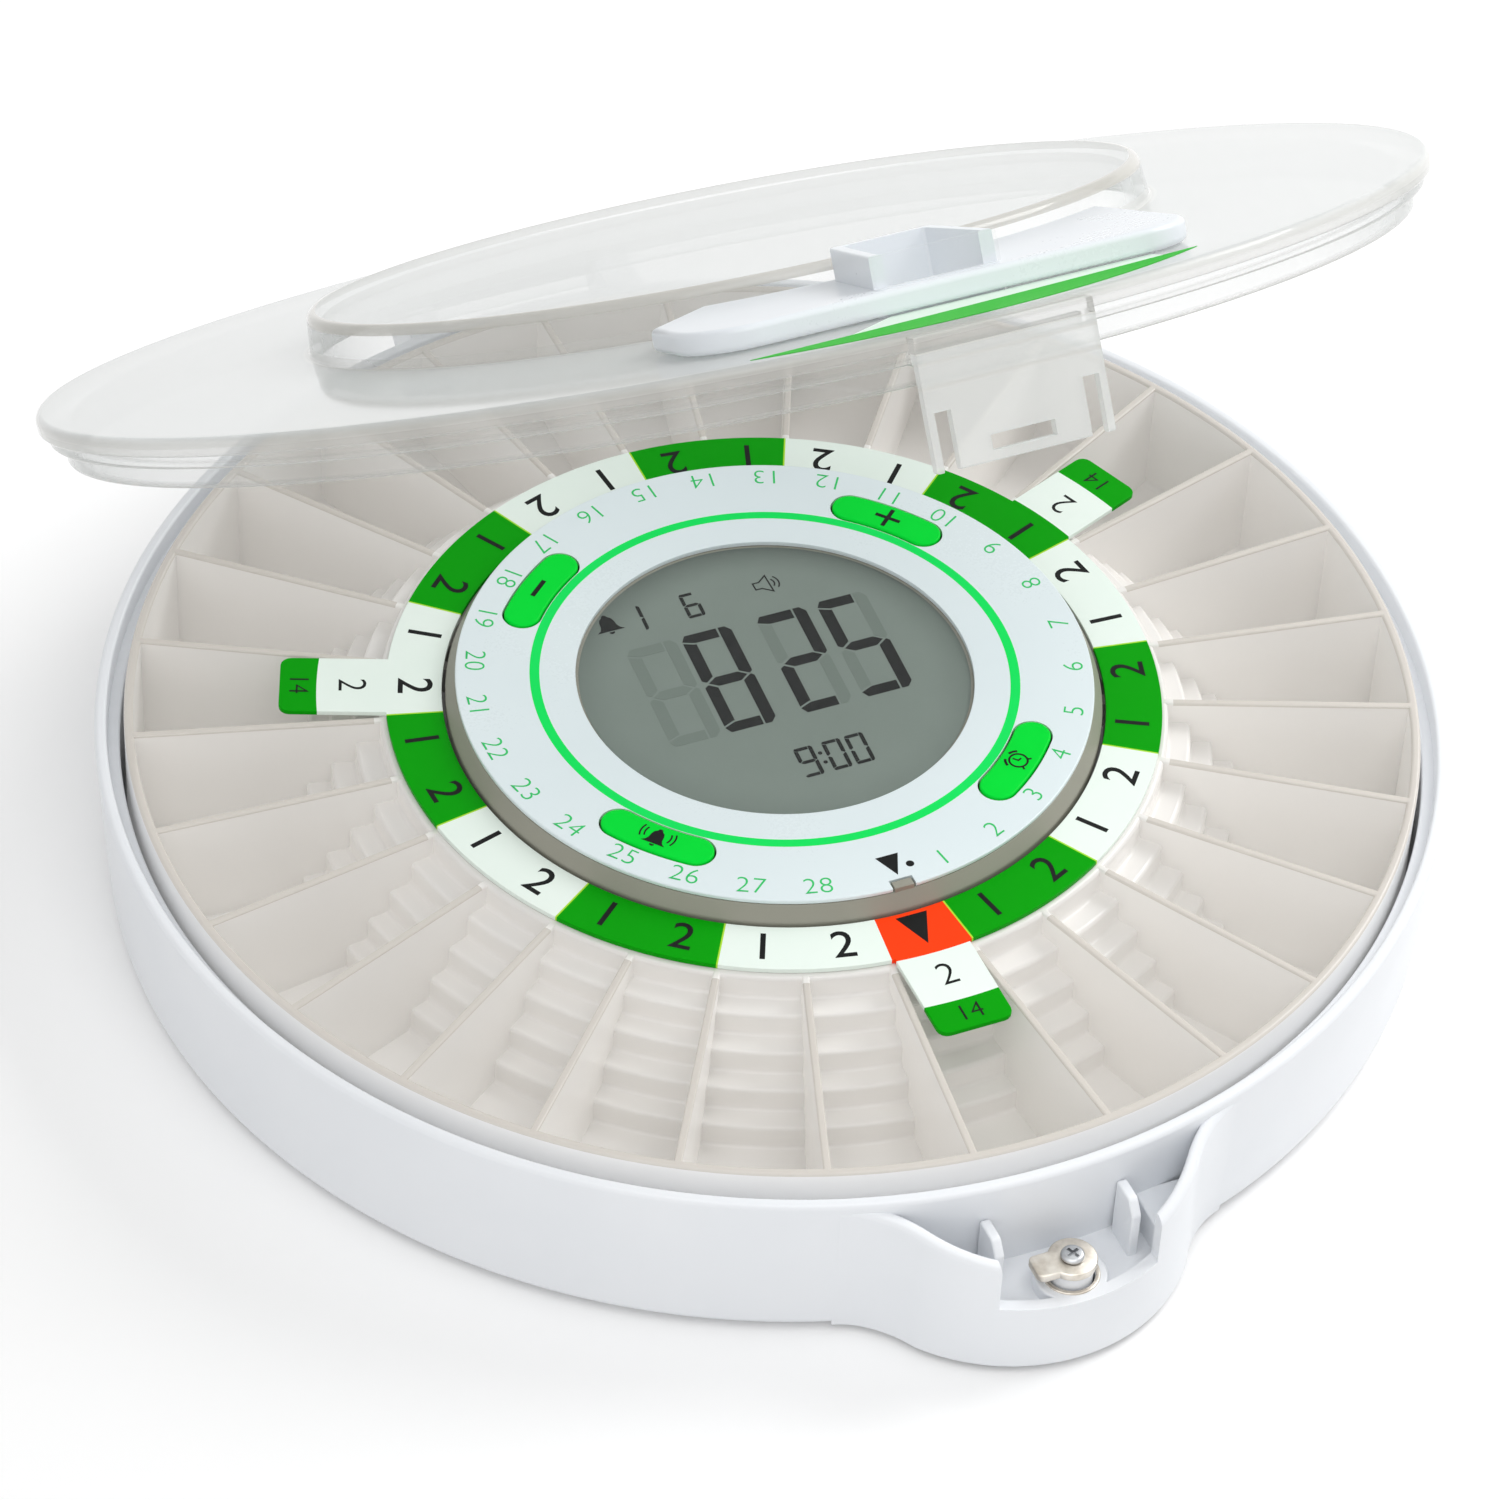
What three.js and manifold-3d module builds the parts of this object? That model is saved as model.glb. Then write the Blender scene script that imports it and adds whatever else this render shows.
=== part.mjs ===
// Round automatic pill dispenser with its lid open. Millimetres, +Z up.
// The origin is on the dial's axis, in the plane that the feet stand on. The lock lobe is at -Y.
import * as THREE from 'three';
import { mergeVertices } from 'three/addons/utils/BufferGeometryUtils.js';
import Module from 'manifold-3d';

const wasm = await Module();
wasm.setup();

// Counts, and the gaps that keep neighbours apart
const cellCount = 29;
const roundSides = 64;
const traySides = 2 * cellCount;
const lobeSides = 32;
const smallSides = 16;
const cornerSides = 4;
const cut = 6; // overrun of a cutter past the face that it opens
const seat = 0.1; // gap between a piece and the flat face it is fixed on
const fit = 0.3; // gap between a piece and the opening it sits in

// Base tub
const rimRadius = 99.4;
const rimTop = 27.2;
const rimRound = 0.5;
const tubTaper = 1.4;
const tubWall = 1.8;
const underside = 1;
const floorThickness = 2.4;
const edgeRound = 0.8;
const rubberFootRadius = 7;
const rubberFootInset = 26;
const rubberFootHeight = 2;
const trackInset = 15;
const trackWidth = 2;
const footCircle = rimRadius - tubTaper;
const tubInner = rimRadius - tubWall;
const floorTop = underside + floorThickness;
const rubberFootCircle = footCircle - rubberFootInset;

// Tray, set in from the tub by the lid's skirt and its gaps
const skirtWall = 1.5;
const skirtGap = 0.6;
const trayGap = 0.5;
const trayWall = 1.4;
const trayLift = 5.1;
const trayFloorThickness = 1.4;
const trayStand = 1.8;
const deckThickness = 1.4;
const slopeTop = 58;
const slopeRun = 14.4;
const stepCount = 5;
const partitionThickness = 1.1;
const hubWall = 1.4;
const hubLap = 1.5;
const hubLift = 3;
const deckWidth = 8.4;
const lowerSkirtRadius = tubInner - skirtGap;
const trayRadius = lowerSkirtRadius - skirtWall - trayGap;
const trackRadius = trayRadius - trackInset;
const trayFloorUnder = floorTop + trayLift;
const trayFloorTop = trayFloorUnder + trayFloorThickness;
const trayTop = rimTop + trayStand;
const slopeFoot = slopeTop + slopeRun;
const deckInner = slopeTop - deckWidth;
const hubOuter = slopeTop - hubLap;
const hubInner = hubOuter - hubWall;
const hubFoot = trayFloorUnder + hubLift;

// Dosage ring on the tray's deck
const ringLap = 0.9;
const ringInset = 1;
const ringThickness = 0.8;
const tabHalfWidth = 5.7;
const tabRound = 1.6;
const tabCells = [0, 9, 20];
const ringInner = deckInner - ringLap;
const ringOuter = slopeTop - ringInset;
const tabReach = slopeFoot;
const ringFloor = trayTop + seat;

// Drive train
const driveRingTeeth = 2 * cellCount;
const pinionTeeth = 12;
const toothHeadShare = 0.72;
const toothFootShare = 0.96;
const toothTipShare = 0.2;
const toothRootShare = 0.52;
const driveRim = 0.872;
const driveRingHeight = 4.5;
const pinionHeight = 5.2;
const shaftRadius = 1.5;
const motorHalfWidth = 11;
const motorBack = 12.9;
const motorFront = 2.1;
const motorHeight = 6;
const shaftDepth = 2;
const driveModule = (hubInner - fit - driveRim) / (driveRingTeeth / 2 + toothFootShare);
const driveRingPitch = driveModule * driveRingTeeth / 2;
const pinionPitch = driveModule * pinionTeeth / 2;
const pinionOffset = driveRingPitch - pinionPitch;
const pinionFloor = hubFoot - fit;

// Batteries and their well
const batteryRadius = 7.1;
const batteryLength = 48.5;
const batteryNubRadius = 2.7;
const batteryNubLength = 1.3;
const batteryGap = 0.8;
const batteryCount = 4;
const wellWall = 1.4;
const wellMargin = 0.4;
const wellHeadroom = 1.1;
const wellEnd = 2.55;
const doorInset = 0.2;
const doorThickness = 1.8;
const doorEarHalf = 6;
const doorEarLength = 9.7;
const doorScrewInset = 4.5;
const doorScrewRadius = 1.1;
const doorScrewHeadRadius = 2.3;
const doorScrewHeadHeight = 0.9;
const doorScrewLength = 9.3;
const contactThickness = 0.5;
const contactHeight = 9;
const batteryPitch = 2 * batteryRadius + batteryGap;
const wellHalfX = batteryCount * batteryRadius + (batteryCount - 1) * batteryGap / 2 + wellMargin;
const wellHalfY = batteryLength / 2 + wellEnd;
const doorFloor = underside + doorInset;
const doorTop = doorFloor + doorThickness;
const batteryAxis = doorTop + batteryRadius + fit;
const wellRoof = batteryAxis + batteryRadius + wellHeadroom;
const doorEarReach = wellHalfY + doorEarLength;
const doorScrewY = doorEarReach - doorScrewInset;
const doorBossTop = doorFloor + doorScrewLength;

// Control unit in the middle of the tray
const housingGap = 0.5;
const housingFlare = 1.4;
const flareDrop = 2.3;
const housingWall = 1.6;
const housingLift = 0.4;
const housingRise = 3.4;
const faceThickness = 0.7;
const pointerHalfWidth = 1.5;
const pointerDepth = 1.4;
const lensRadius = 28.9;
const lensThickness = 0.7;
const lensLedge = 1.4;
const boardInset = 0.8;
const boardDrop = 5.4;
const boardThickness = 1.4;
const displayInset = 0.7;
const postRadius = 3.4;
const postGapX = 3.2;
const postInset = 8.8;
const screwRadius = 1.4;
const screwHeadRadius = 2.9;
const screwHeadHeight = 1.3;
const screwInset = 4.3;
const motorLift = 0.2;
const buzzerRadius = 6.5;
const buzzerHeight = 5.2;
const buzzerPlace = [-20, -30];
const tiltRadius = 3;
const tiltPlace = [20, -30];
const trayReaderHalf = 6;
const trayReaderDepth = 6.4;
const trayReaderInset = 5.7;
const trayReaderHeight = 13;
const housingRadius = ringInner - housingGap - housingFlare;
const housingFoot = wellRoof + wellWall + housingLift;
const housingTop = trayTop + housingRise;
const boardRadius = housingRadius - housingWall - boardInset;
const boardFloor = housingTop - boardDrop;
const displayRadius = lensRadius - lensLedge - displayInset;
const postX = wellHalfX + wellWall + postRadius + postGapX;
const postY = wellHalfY - postInset;
const screwFloor = underside + fit;
const screwHeadTop = screwFloor + screwHeadHeight;
const screwTop = housingTop - housingWall - screwInset;
const motorFloor = housingFoot + motorLift;
const faceTop = housingTop + seat + faceThickness;
const boardTop = boardFloor + boardThickness;

// Keys on the dial
const keyInset = 7.8;
const keyHalfWidth = 2.7;
const keyHalfAngle = THREE.MathUtils.degToRad(8.9);
const keyTurn = THREE.MathUtils.degToRad(-3.8);
const keyRise = 0.25;
const keyDepth = 1.5;
const keyNames = ['clock_key', 'plus_key', 'minus_key', 'alarm_key'];
const switchHalf = 2.5;
const switchHeight = 1.4;
const plungerRadius = 1.4;
const plungerHeight = 0.5;
const keyCircle = housingRadius - keyInset;
const keyFoot = housingTop - keyDepth;

// Lid, drawn closed and then turned up about its hinge
const openAngle = THREE.MathUtils.degToRad(34.4);
const lidStand = 4.8;
const lidPlate = 1.5;
const lipOverhang = 0.9;
const lipHeight = 2.6;
const lipRound = 0.7;
const lipDepth = 1.3;
const upperSkirtHeight = 4.5;
const lowerSkirtHeight = 7.6;
const domeRadius = 60;
const domeFlare = 0.6;
const domeHeight = 6;
const domeWall = 1.5;
const domeRound = 1;
const hingeReach = 7.3;
const hingeDrop = 7.5;
const knuckleRadius = 3.4;
const knuckleHalf = 13.5;
const earLength = 6;
const earRise = 1.5;
const earDrop = 11;
const pinRadius = 1.3;
const lugHalfWidth = 12.5;
const lugThickness = 1.6;
const lugGap = 0.8;
const lugDrop = 18.4;
const lugFlange = 1.3;
const catchHalfWidth = 4.5;
const catchGap = 0.4;
const ribGap = 0.4;
const lidRadius = rimRadius + lipOverhang;
const lidTop = rimTop + lidStand;
const upperSkirtRadius = lidRadius - lipDepth;
const hingeY = lidRadius + hingeReach;
const hingeZ = lidTop - hingeDrop;
const lugBack = rimRadius + lugGap;
const lugFoot = lidTop - lugDrop;

// Lock lobe at the front
const lobeRadius = 27;
const lobeInset = 15.4;
const lobeDrop = 5.2;
const lobeSlope = 0.37; // rise of the lobe's top edge towards the tub, through lobeTop over the lock
const lobeWall = 1.8;
const lobeFillet = 20;
const pocketDepth = 11;
const pocketFloorThickness = 2;
const notchMargin = 0.5;
const ribOffset = 10.35;
const ribThickness = 1.5;
const ribLength = 4.6;
const ribDrop = 1;
const shelfGap = 0.8;
const shelfDrop = 6;
const lockReach = 6.2;
const bossRadius = 5.2;
const bossGap = 0.4;
const plugRadius = 3.1;
const plugHeadRadius = 4;
const plugHeadInset = 0.4;
const plugHeadHeight = 1.6;
const keySlotHalfWidth = 0.6;
const keySlotHalfLength = 2.6;
const camLift = 2.1;
const camThickness = 1.3;
const camRadius = 3.5;
const camReach = 5.9;
const camToothHalfWidth = 2.1;
const camScrewRadius = 1;
const camScrewLength = 4.6;
const camScrewHeadRadius = 1.9;
const camScrewHeadHeight = 1.2;
const lobeCentre = rimRadius - lobeInset;
const lobeTop = rimTop - lobeDrop;
const pocketFloor = lobeTop - pocketDepth;
const notchHalfWidth = lugHalfWidth - notchMargin;
const ribReach = rimRadius + ribLength;
const ribTop = lobeTop - ribDrop;
const shelfInner = lugHalfWidth + shelfGap;
const shelfTop = lobeTop - shelfDrop;
const lockAxis = rimRadius + lockReach;
const bossTop = lugFoot - bossGap;
const notchFloor = bossTop;
const plugHeadFloor = underside + plugHeadInset;
const bossFoot = plugHeadFloor + plugHeadHeight + 2 * seat;
const camFloor = bossTop + camLift;
const catchFloor = camFloor - catchGap;
const catchHeight = camThickness + 2 * catchGap;

// White chute plate on the lid
const chuteThickness = 3.2;
const chuteInset = 15.8;
const chuteHalfWidth = 37;
const chuteRound = 9;
const chuteGap = 0.6;
const portInset = 19.3;
const portLength = 16.5;
const portHalfAngle = THREE.MathUtils.degToRad(5.2);
const collarWall = 1.5;
const collarHeight = 4.4;
const chuteFront = lidRadius - chuteInset;
const chuteBack = domeRadius + domeFlare + chuteGap;
const portFar = lidRadius - portInset;
const portNear = portFar - portLength;

// Finishes
const finish = (color, roughness, metalness = 0, opacity = 1) => () => new THREE.MeshStandardMaterial({
  color, roughness, metalness, opacity, transparent: opacity < 1,
});
const whitePlastic = finish(0xeef0f2, 0.3);
const trayPlastic = finish(0xded6d0, 0.25, 0, 0.5);
const clearPlastic = finish(0xe9edec, 0.05, 0, 0.3);
const dialPlastic = finish(0xb9b6ad, 0.35);
const printedWhite = finish(0xf2f6f8, 0.35);
const printedGreen = finish(0x0aa30f, 0.4);
const keyGreen = finish(0x12e05a, 0.35);
const lcdGrey = finish(0x7f8b82, 0.3);
const boardGreen = finish(0x1f5a32, 0.5);
const blackPlastic = finish(0x1c1c1e, 0.45);
const greyRubber = finish(0x77787a, 0.8);
const nickel = finish(0xb9b2a6, 0.25, 1);
const steel = finish(0xc4c6c8, 0.3, 1);
const batteryWrap = finish(0x33373c, 0.35, 0.3);

// Closed geometry becomes a solid once its corners are shared and its empty faces are gone
function toSolid(geometry) {
  const bare = geometry.clone();
  bare.deleteAttribute('normal');
  bare.deleteAttribute('uv');
  const merged = mergeVertices(bare, 1e-4);
  const corners = merged.index.array;
  const triVerts = [];
  for (let i = 0; i < corners.length; i += 3) {
    const [a, b, c] = corners.subarray(i, i + 3);
    if (a !== b && b !== c && c !== a) triVerts.push(a, b, c);
  }
  return new wasm.Manifold(new wasm.Mesh({
    numProp: 3,
    vertProperties: Float32Array.from(merged.attributes.position.array),
    triVerts: Uint32Array.from(triVerts),
  }));
}

function toGeometry(solid) {
  const { vertProperties, triVerts } = solid.getMesh();
  const geometry = new THREE.BufferGeometry();
  geometry.setAttribute('position', new THREE.BufferAttribute(Float32Array.from(vertProperties), 3));
  geometry.setIndex(new THREE.BufferAttribute(Uint32Array.from(triVerts), 1));
  geometry.computeVertexNormals();
  return geometry;
}

const join = (first, ...others) => others.reduce((sum, next) => sum.add(next), first);
const carve = (first, ...others) => others.reduce((rest, next) => rest.subtract(next), first);

// A body of revolution about the dial's axis, from an outline of [radius, height] points.
// The outline runs anticlockwise, with the radius to the right, and closes on itself.
function turned(outline, sides = roundSides) {
  const points = outline.map(([radius, height]) => new THREE.Vector2(radius, height));
  points.push(points[0].clone());
  const geometry = new THREE.LatheGeometry(points, sides);
  geometry.rotateX(Math.PI / 2);
  return toSolid(geometry);
}

function cylinder(radius, low, high, x = 0, y = 0, sides = smallSides) {
  const geometry = new THREE.CylinderGeometry(radius, radius, high - low, sides);
  geometry.rotateX(Math.PI / 2);
  geometry.translate(x, y, (low + high) / 2);
  return toSolid(geometry);
}

// A round bar along X, centred on x = middle
function bar(radius, halfLength, middle, y, z) {
  const geometry = new THREE.CylinderGeometry(radius, radius, 2 * halfLength, smallSides);
  geometry.rotateZ(Math.PI / 2);
  geometry.translate(middle, y, z);
  return toSolid(geometry);
}

function block([x0, y0, z0], [x1, y1, z1]) {
  const geometry = new THREE.BoxGeometry(x1 - x0, y1 - y0, z1 - z0);
  geometry.translate((x0 + x1) / 2, (y0 + y1) / 2, (z0 + z1) / 2);
  return toSolid(geometry);
}

function prism(shape, low, high, curveSegments = smallSides) {
  const options = { depth: high - low, bevelEnabled: false, curveSegments };
  const geometry = new THREE.ExtrudeGeometry(shape, options);
  geometry.translate(0, 0, low);
  return toSolid(geometry);
}

const polygon = (points) => new THREE.Shape(points.map(([x, y]) => new THREE.Vector2(x, y)));

// A plate of [y, z] points between two values of x
function sidePlate(points, x0, x1) {
  const geometry = new THREE.ExtrudeGeometry(polygon(points), { depth: x1 - x0, bevelEnabled: false });
  const basis = new THREE.Matrix4().makeBasis(
    new THREE.Vector3(0, 1, 0),
    new THREE.Vector3(0, 0, 1),
    new THREE.Vector3(1, 0, 0),
  );
  geometry.applyMatrix4(basis);
  geometry.translate(x0, 0, 0);
  return toSolid(geometry);
}

// An upright plate of [radius, z] points, turned about the dial's axis
function radialPlate(points, thickness, angle) {
  const options = { depth: thickness, bevelEnabled: false };
  const geometry = new THREE.ExtrudeGeometry(polygon(points), options);
  geometry.rotateX(Math.PI / 2);
  geometry.translate(0, thickness / 2, 0);
  geometry.rotateZ(angle);
  return toSolid(geometry);
}

function addPiece(group, name, solid, material) {
  const mesh = new THREE.Mesh(toGeometry(solid), material());
  mesh.name = name;
  group.add(mesh);
  return mesh;
}

// Cell 0 faces the lobe, and the cells count anticlockwise from above
const cellAngle = (cell) => cell / cellCount * 2 * Math.PI - Math.PI / 2;
const postPlaces = [[1, 1], [-1, 1], [-1, -1], [1, -1]].map(([i, j]) => [i * postX, j * postY]);
const quarterAngles = [0, 1, 2, 3].map((quarter) => quarter * Math.PI / 2 - Math.PI / 4);
const keyAngles = quarterAngles.map((angle) => angle + keyTurn);

// Plan of the lock lobe: fillet, lobe and fillet arcs, closed inside the tub
function lobePlan() {
  const tubToFillet = rimRadius + lobeFillet;
  const lobeToFillet = lobeRadius + lobeFillet;
  const filletY = -(tubToFillet ** 2 - lobeToFillet ** 2 + lobeCentre ** 2) / (2 * lobeCentre);
  const filletX = Math.sqrt(tubToFillet ** 2 - filletY ** 2);
  const onTub = Math.atan2(-filletY, -filletX);
  const onLobe = Math.atan2(-lobeCentre - filletY, -filletX);
  const lobeStart = Math.atan2(filletY + lobeCentre, filletX);
  const shape = new THREE.Shape();
  shape.absarc(filletX, filletY, lobeFillet, onTub, onLobe, false);
  shape.absarc(0, -lobeCentre, lobeRadius, lobeStart, -Math.PI - lobeStart, true);
  shape.absarc(-filletX, filletY, lobeFillet, Math.PI - onLobe, Math.PI - onTub, false);
  return shape;
}

// The lobe's solid, what is cut out of it, and the fittings in its pocket
function lobeSolids() {
  const topAt = (reach) => lobeTop + lobeSlope * (lockAxis - reach);
  const overTop = sidePlate([
    [-2 * rimRadius, topAt(2 * rimRadius)],
    [0, topAt(0)],
    [-2 * rimRadius, topAt(0)],
  ], -rimRadius, rimRadius);
  const lobe = prism(lobePlan(), underside, rimTop - rimRound).subtract(overTop);
  const inner = lobeRadius - lobeWall;
  const inside = cylinder(inner, underside - cut, lobeTop + cut, 0, -lobeCentre, lobeSides);
  const tubCircle = cylinder(rimRadius, underside - 2 * cut, lobeTop + 2 * cut, 0, 0, roundSides);
  const hollow = inside.subtract(tubCircle);
  const floorUnder = pocketFloor - pocketFloorThickness;
  const floorMiddle = pocketFloor - pocketFloorThickness / 2;
  const slab = (low, high) => block([-rimRadius, -2 * rimRadius, low], [rimRadius, 0, high]);
  const pocket = hollow.intersect(slab(pocketFloor, lobeTop + cut));
  const recess = hollow.intersect(slab(underside - cut, floorUnder));
  const notch = block(
    [-notchHalfWidth, -lobeCentre - lobeRadius - cut, notchFloor],
    [notchHalfWidth, -ribReach - fit, lobeTop + cut],
  );
  const ribs = [-ribOffset, ribOffset].map((x) => block(
    [x - ribThickness / 2, -ribReach, floorMiddle],
    [x + ribThickness / 2, -rimRadius + tubWall / 2, ribTop],
  ));
  const shelf = block(
    [shelfInner, -ribReach, floorMiddle],
    [inner, -footCircle + tubWall / 2, shelfTop],
  );
  const boss = cylinder(bossRadius, bossFoot, bossTop, 0, -lockAxis);
  return { lobe, cuts: [pocket, recess, notch], fittings: [...ribs, shelf.intersect(lobe), boss] };
}

// White tub: wall, floor, track for the tray, battery well, posts, lock lobe and hinge ears
function baseShell() {
  const trackTop = trayFloorUnder - fit;
  const tub = turned([
    [0, underside],
    [footCircle - edgeRound, underside],
    [footCircle, underside + edgeRound],
    [rimRadius, rimTop - rimRound],
    [rimRadius - rimRound, rimTop],
    [tubInner, rimTop],
    [footCircle - tubWall, floorTop],
    [trackRadius + trackWidth, floorTop],
    [trackRadius + trackWidth, trackTop],
    [trackRadius, trackTop],
    [trackRadius, floorTop],
    [0, floorTop],
  ]);
  const wallCore = turned([
    [0, underside - cut],
    [footCircle - tubWall / 2, underside - cut],
    [footCircle - tubWall / 2, underside],
    [rimRadius - tubWall / 2, rimTop],
    [0, rimTop],
  ]);
  const { lobe, cuts, fittings } = lobeSolids();
  const wallMiddle = rimRadius - tubWall / 2;
  const earIn = knuckleHalf + fit;
  const ears = [-earIn - earLength, earIn].map((x) => join(
    sidePlate([
      [wallMiddle - earRise, hingeZ - earDrop],
      [wallMiddle + earRise, hingeZ - earDrop],
      [hingeY + knuckleRadius / 2, hingeZ - knuckleRadius],
      [hingeY, hingeZ + earRise],
      [wallMiddle - earRise, hingeZ + earRise],
    ], x, x + earLength),
    bar(knuckleRadius, earLength / 2, x + earLength / 2, hingeY, hingeZ),
  ).subtract(wallCore));
  const floorMiddle = underside + floorThickness / 2;
  const well = block(
    [-wellHalfX - wellWall, -wellHalfY - wellWall, floorMiddle],
    [wellHalfX + wellWall, wellHalfY + wellWall, wellRoof + wellWall],
  );
  const doorPad = block(
    [-doorEarHalf - wellWall, -doorEarReach - wellWall, floorMiddle],
    [doorEarHalf + wellWall, -wellHalfY, floorTop + wellWall],
  );
  const doorBoss = cylinder(postRadius, floorTop, doorBossTop, 0, -doorScrewY);
  const posts = postPlaces.map(([x, y]) => cylinder(postRadius, floorMiddle, housingFoot - seat, x, y));
  const solid = join(tub, lobe.subtract(wallCore), ...ears, well, doorPad, doorBoss, ...posts);
  const footHollows = quarterAngles.map((angle) => cylinder(
    rubberFootRadius + fit,
    underside - cut,
    rubberFootHeight + seat,
    rubberFootCircle * Math.cos(angle),
    rubberFootCircle * Math.sin(angle),
  ));
  const screwHoles = postPlaces.map(([x, y]) => join(
    cylinder(screwRadius + fit, underside - cut, housingFoot + cut, x, y),
    cylinder(screwHeadRadius + fit, underside - cut, screwHeadTop + seat, x, y),
  ));
  const opened = carve(
    solid,
    ...cuts,
    block([-wellHalfX, -wellHalfY, underside - cut], [wellHalfX, wellHalfY, wellRoof]),
    block(
      [-doorEarHalf - fit, -doorEarReach - fit, underside - cut],
      [doorEarHalf + fit, 0, doorTop + seat],
    ),
    cylinder(doorScrewRadius + fit, underside, doorBossTop + cut, 0, -doorScrewY),
    ...screwHoles,
    ...footHollows,
    bar(pinRadius + fit, earIn + earLength + cut, 0, hingeY, hingeZ),
  );
  const plugBore = cylinder(plugRadius + fit, underside - cut, bossTop + cut, 0, -lockAxis);
  const headHollow = cylinder(plugHeadRadius + fit, underside - cut, bossFoot, 0, -lockAxis);
  return carve(join(opened, ...fittings), plugBore, headHollow);
}

function addBase(root) {
  addPiece(root, 'base_shell', baseShell(), whitePlastic);
  quarterAngles.forEach((angle, index) => {
    const [x, y] = [rubberFootCircle * Math.cos(angle), rubberFootCircle * Math.sin(angle)];
    addPiece(root, `rubber_foot_${index + 1}`, cylinder(rubberFootRadius, 0, rubberFootHeight, x, y), greyRubber);
  });
  const pinHalf = knuckleHalf + fit + earLength;
  addPiece(root, 'hinge_pin', bar(pinRadius, pinHalf, 0, hingeY, hingeZ), steel);
  addBatteries(root);
}

function addBatteries(root) {
  const door = join(
    block([-wellHalfX + fit, -wellHalfY + fit, doorFloor], [wellHalfX - fit, wellHalfY - fit, doorTop]),
    block([-doorEarHalf, -doorEarReach, doorFloor], [doorEarHalf, 0, doorTop]),
  );
  const headTop = doorFloor + doorScrewHeadHeight;
  const doorCuts = [
    cylinder(doorScrewRadius + fit, 0, doorTop + cut, 0, -doorScrewY),
    cylinder(doorScrewHeadRadius + fit, 0, headTop, 0, -doorScrewY),
  ];
  addPiece(root, 'battery_door', carve(door, ...doorCuts), whitePlastic);
  const doorScrew = join(
    cylinder(doorScrewHeadRadius, doorFloor, headTop - seat, 0, -doorScrewY),
    cylinder(doorScrewRadius, doorFloor, doorBossTop - fit, 0, -doorScrewY),
  );
  addPiece(root, 'battery_door_screw', doorScrew, steel);
  for (let i = 0; i < batteryCount; i += 1) {
    const x = (i - (batteryCount - 1) / 2) * batteryPitch;
    const facing = i % 2 === 0 ? 1 : -1;
    const can = bar(batteryRadius, batteryLength / 2, 0, 0, 0);
    const nub = bar(batteryNubRadius, batteryNubLength, facing * batteryLength / 2, 0, 0);
    const battery = can.add(nub).rotate([0, 0, 90]).translate([x, 0, batteryAxis]);
    addPiece(root, `battery_${i + 1}`, battery, batteryWrap);
  }
  [-1, 1].forEach((side) => {
    const [inner, outer] = [wellHalfY - fit - contactThickness, wellHalfY - fit];
    const [y0, y1] = side < 0 ? [-outer, -inner] : [inner, outer];
    const contact = block(
      [-wellHalfX + fit, y0, batteryAxis - contactHeight / 2],
      [wellHalfX - fit, y1, batteryAxis + contactHeight / 2],
    );
    addPiece(root, side < 0 ? 'battery_contact_front' : 'battery_contact_rear', contact, nickel);
  });
}

// Lock in the lobe: key plug, cam that catches the lid's lug, and the cam's screw
function addLock(root) {
  const plugTop = camFloor - seat;
  const plug = carve(
    join(
      cylinder(plugHeadRadius, plugHeadFloor, plugHeadFloor + plugHeadHeight, 0, -lockAxis),
      cylinder(plugRadius, plugHeadFloor, plugTop, 0, -lockAxis),
    ),
    block(
      [-keySlotHalfWidth, -lockAxis - keySlotHalfLength, 0],
      [keySlotHalfWidth, -lockAxis + keySlotHalfLength, plugHeadFloor + plugHeadHeight],
    ),
    cylinder(camScrewRadius + fit, plugTop - camScrewLength, plugTop + cut, 0, -lockAxis),
  );
  addPiece(root, 'lock_plug', plug, whitePlastic);
  const camTop = camFloor + camThickness;
  const tooth = block(
    [-camReach, -lockAxis - camToothHalfWidth, camFloor],
    [0, -lockAxis + camToothHalfWidth, camTop],
  );
  const cam = carve(
    join(cylinder(camRadius, camFloor, camTop, 0, -lockAxis, lobeSides), tooth),
    cylinder(camScrewRadius + fit, camFloor - cut, camTop + cut, 0, -lockAxis),
  );
  addPiece(root, 'lock_cam', cam, nickel);
  const headFloor = camTop + seat;
  const screw = join(
    cylinder(camScrewHeadRadius, headFloor, headFloor + camScrewHeadHeight, 0, -lockAxis),
    cylinder(camScrewRadius, plugTop - camScrewLength + fit, headFloor + camScrewHeadHeight, 0, -lockAxis),
  );
  addPiece(root, 'lock_cam_screw', screw, steel);
}

// Stepped inner slope of the tray, from the deck down to the cells' floor
function slopeSteps() {
  const points = [];
  const width = (slopeFoot - slopeTop) / (stepCount - 1);
  const height = (trayTop - trayFloorTop) / stepCount;
  for (let i = 0; i < stepCount; i += 1) {
    points.push([slopeTop + i * width, trayTop - i * height]);
    points.push([slopeTop + i * width, trayTop - (i + 1) * height]);
  }
  return points;
}

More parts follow.
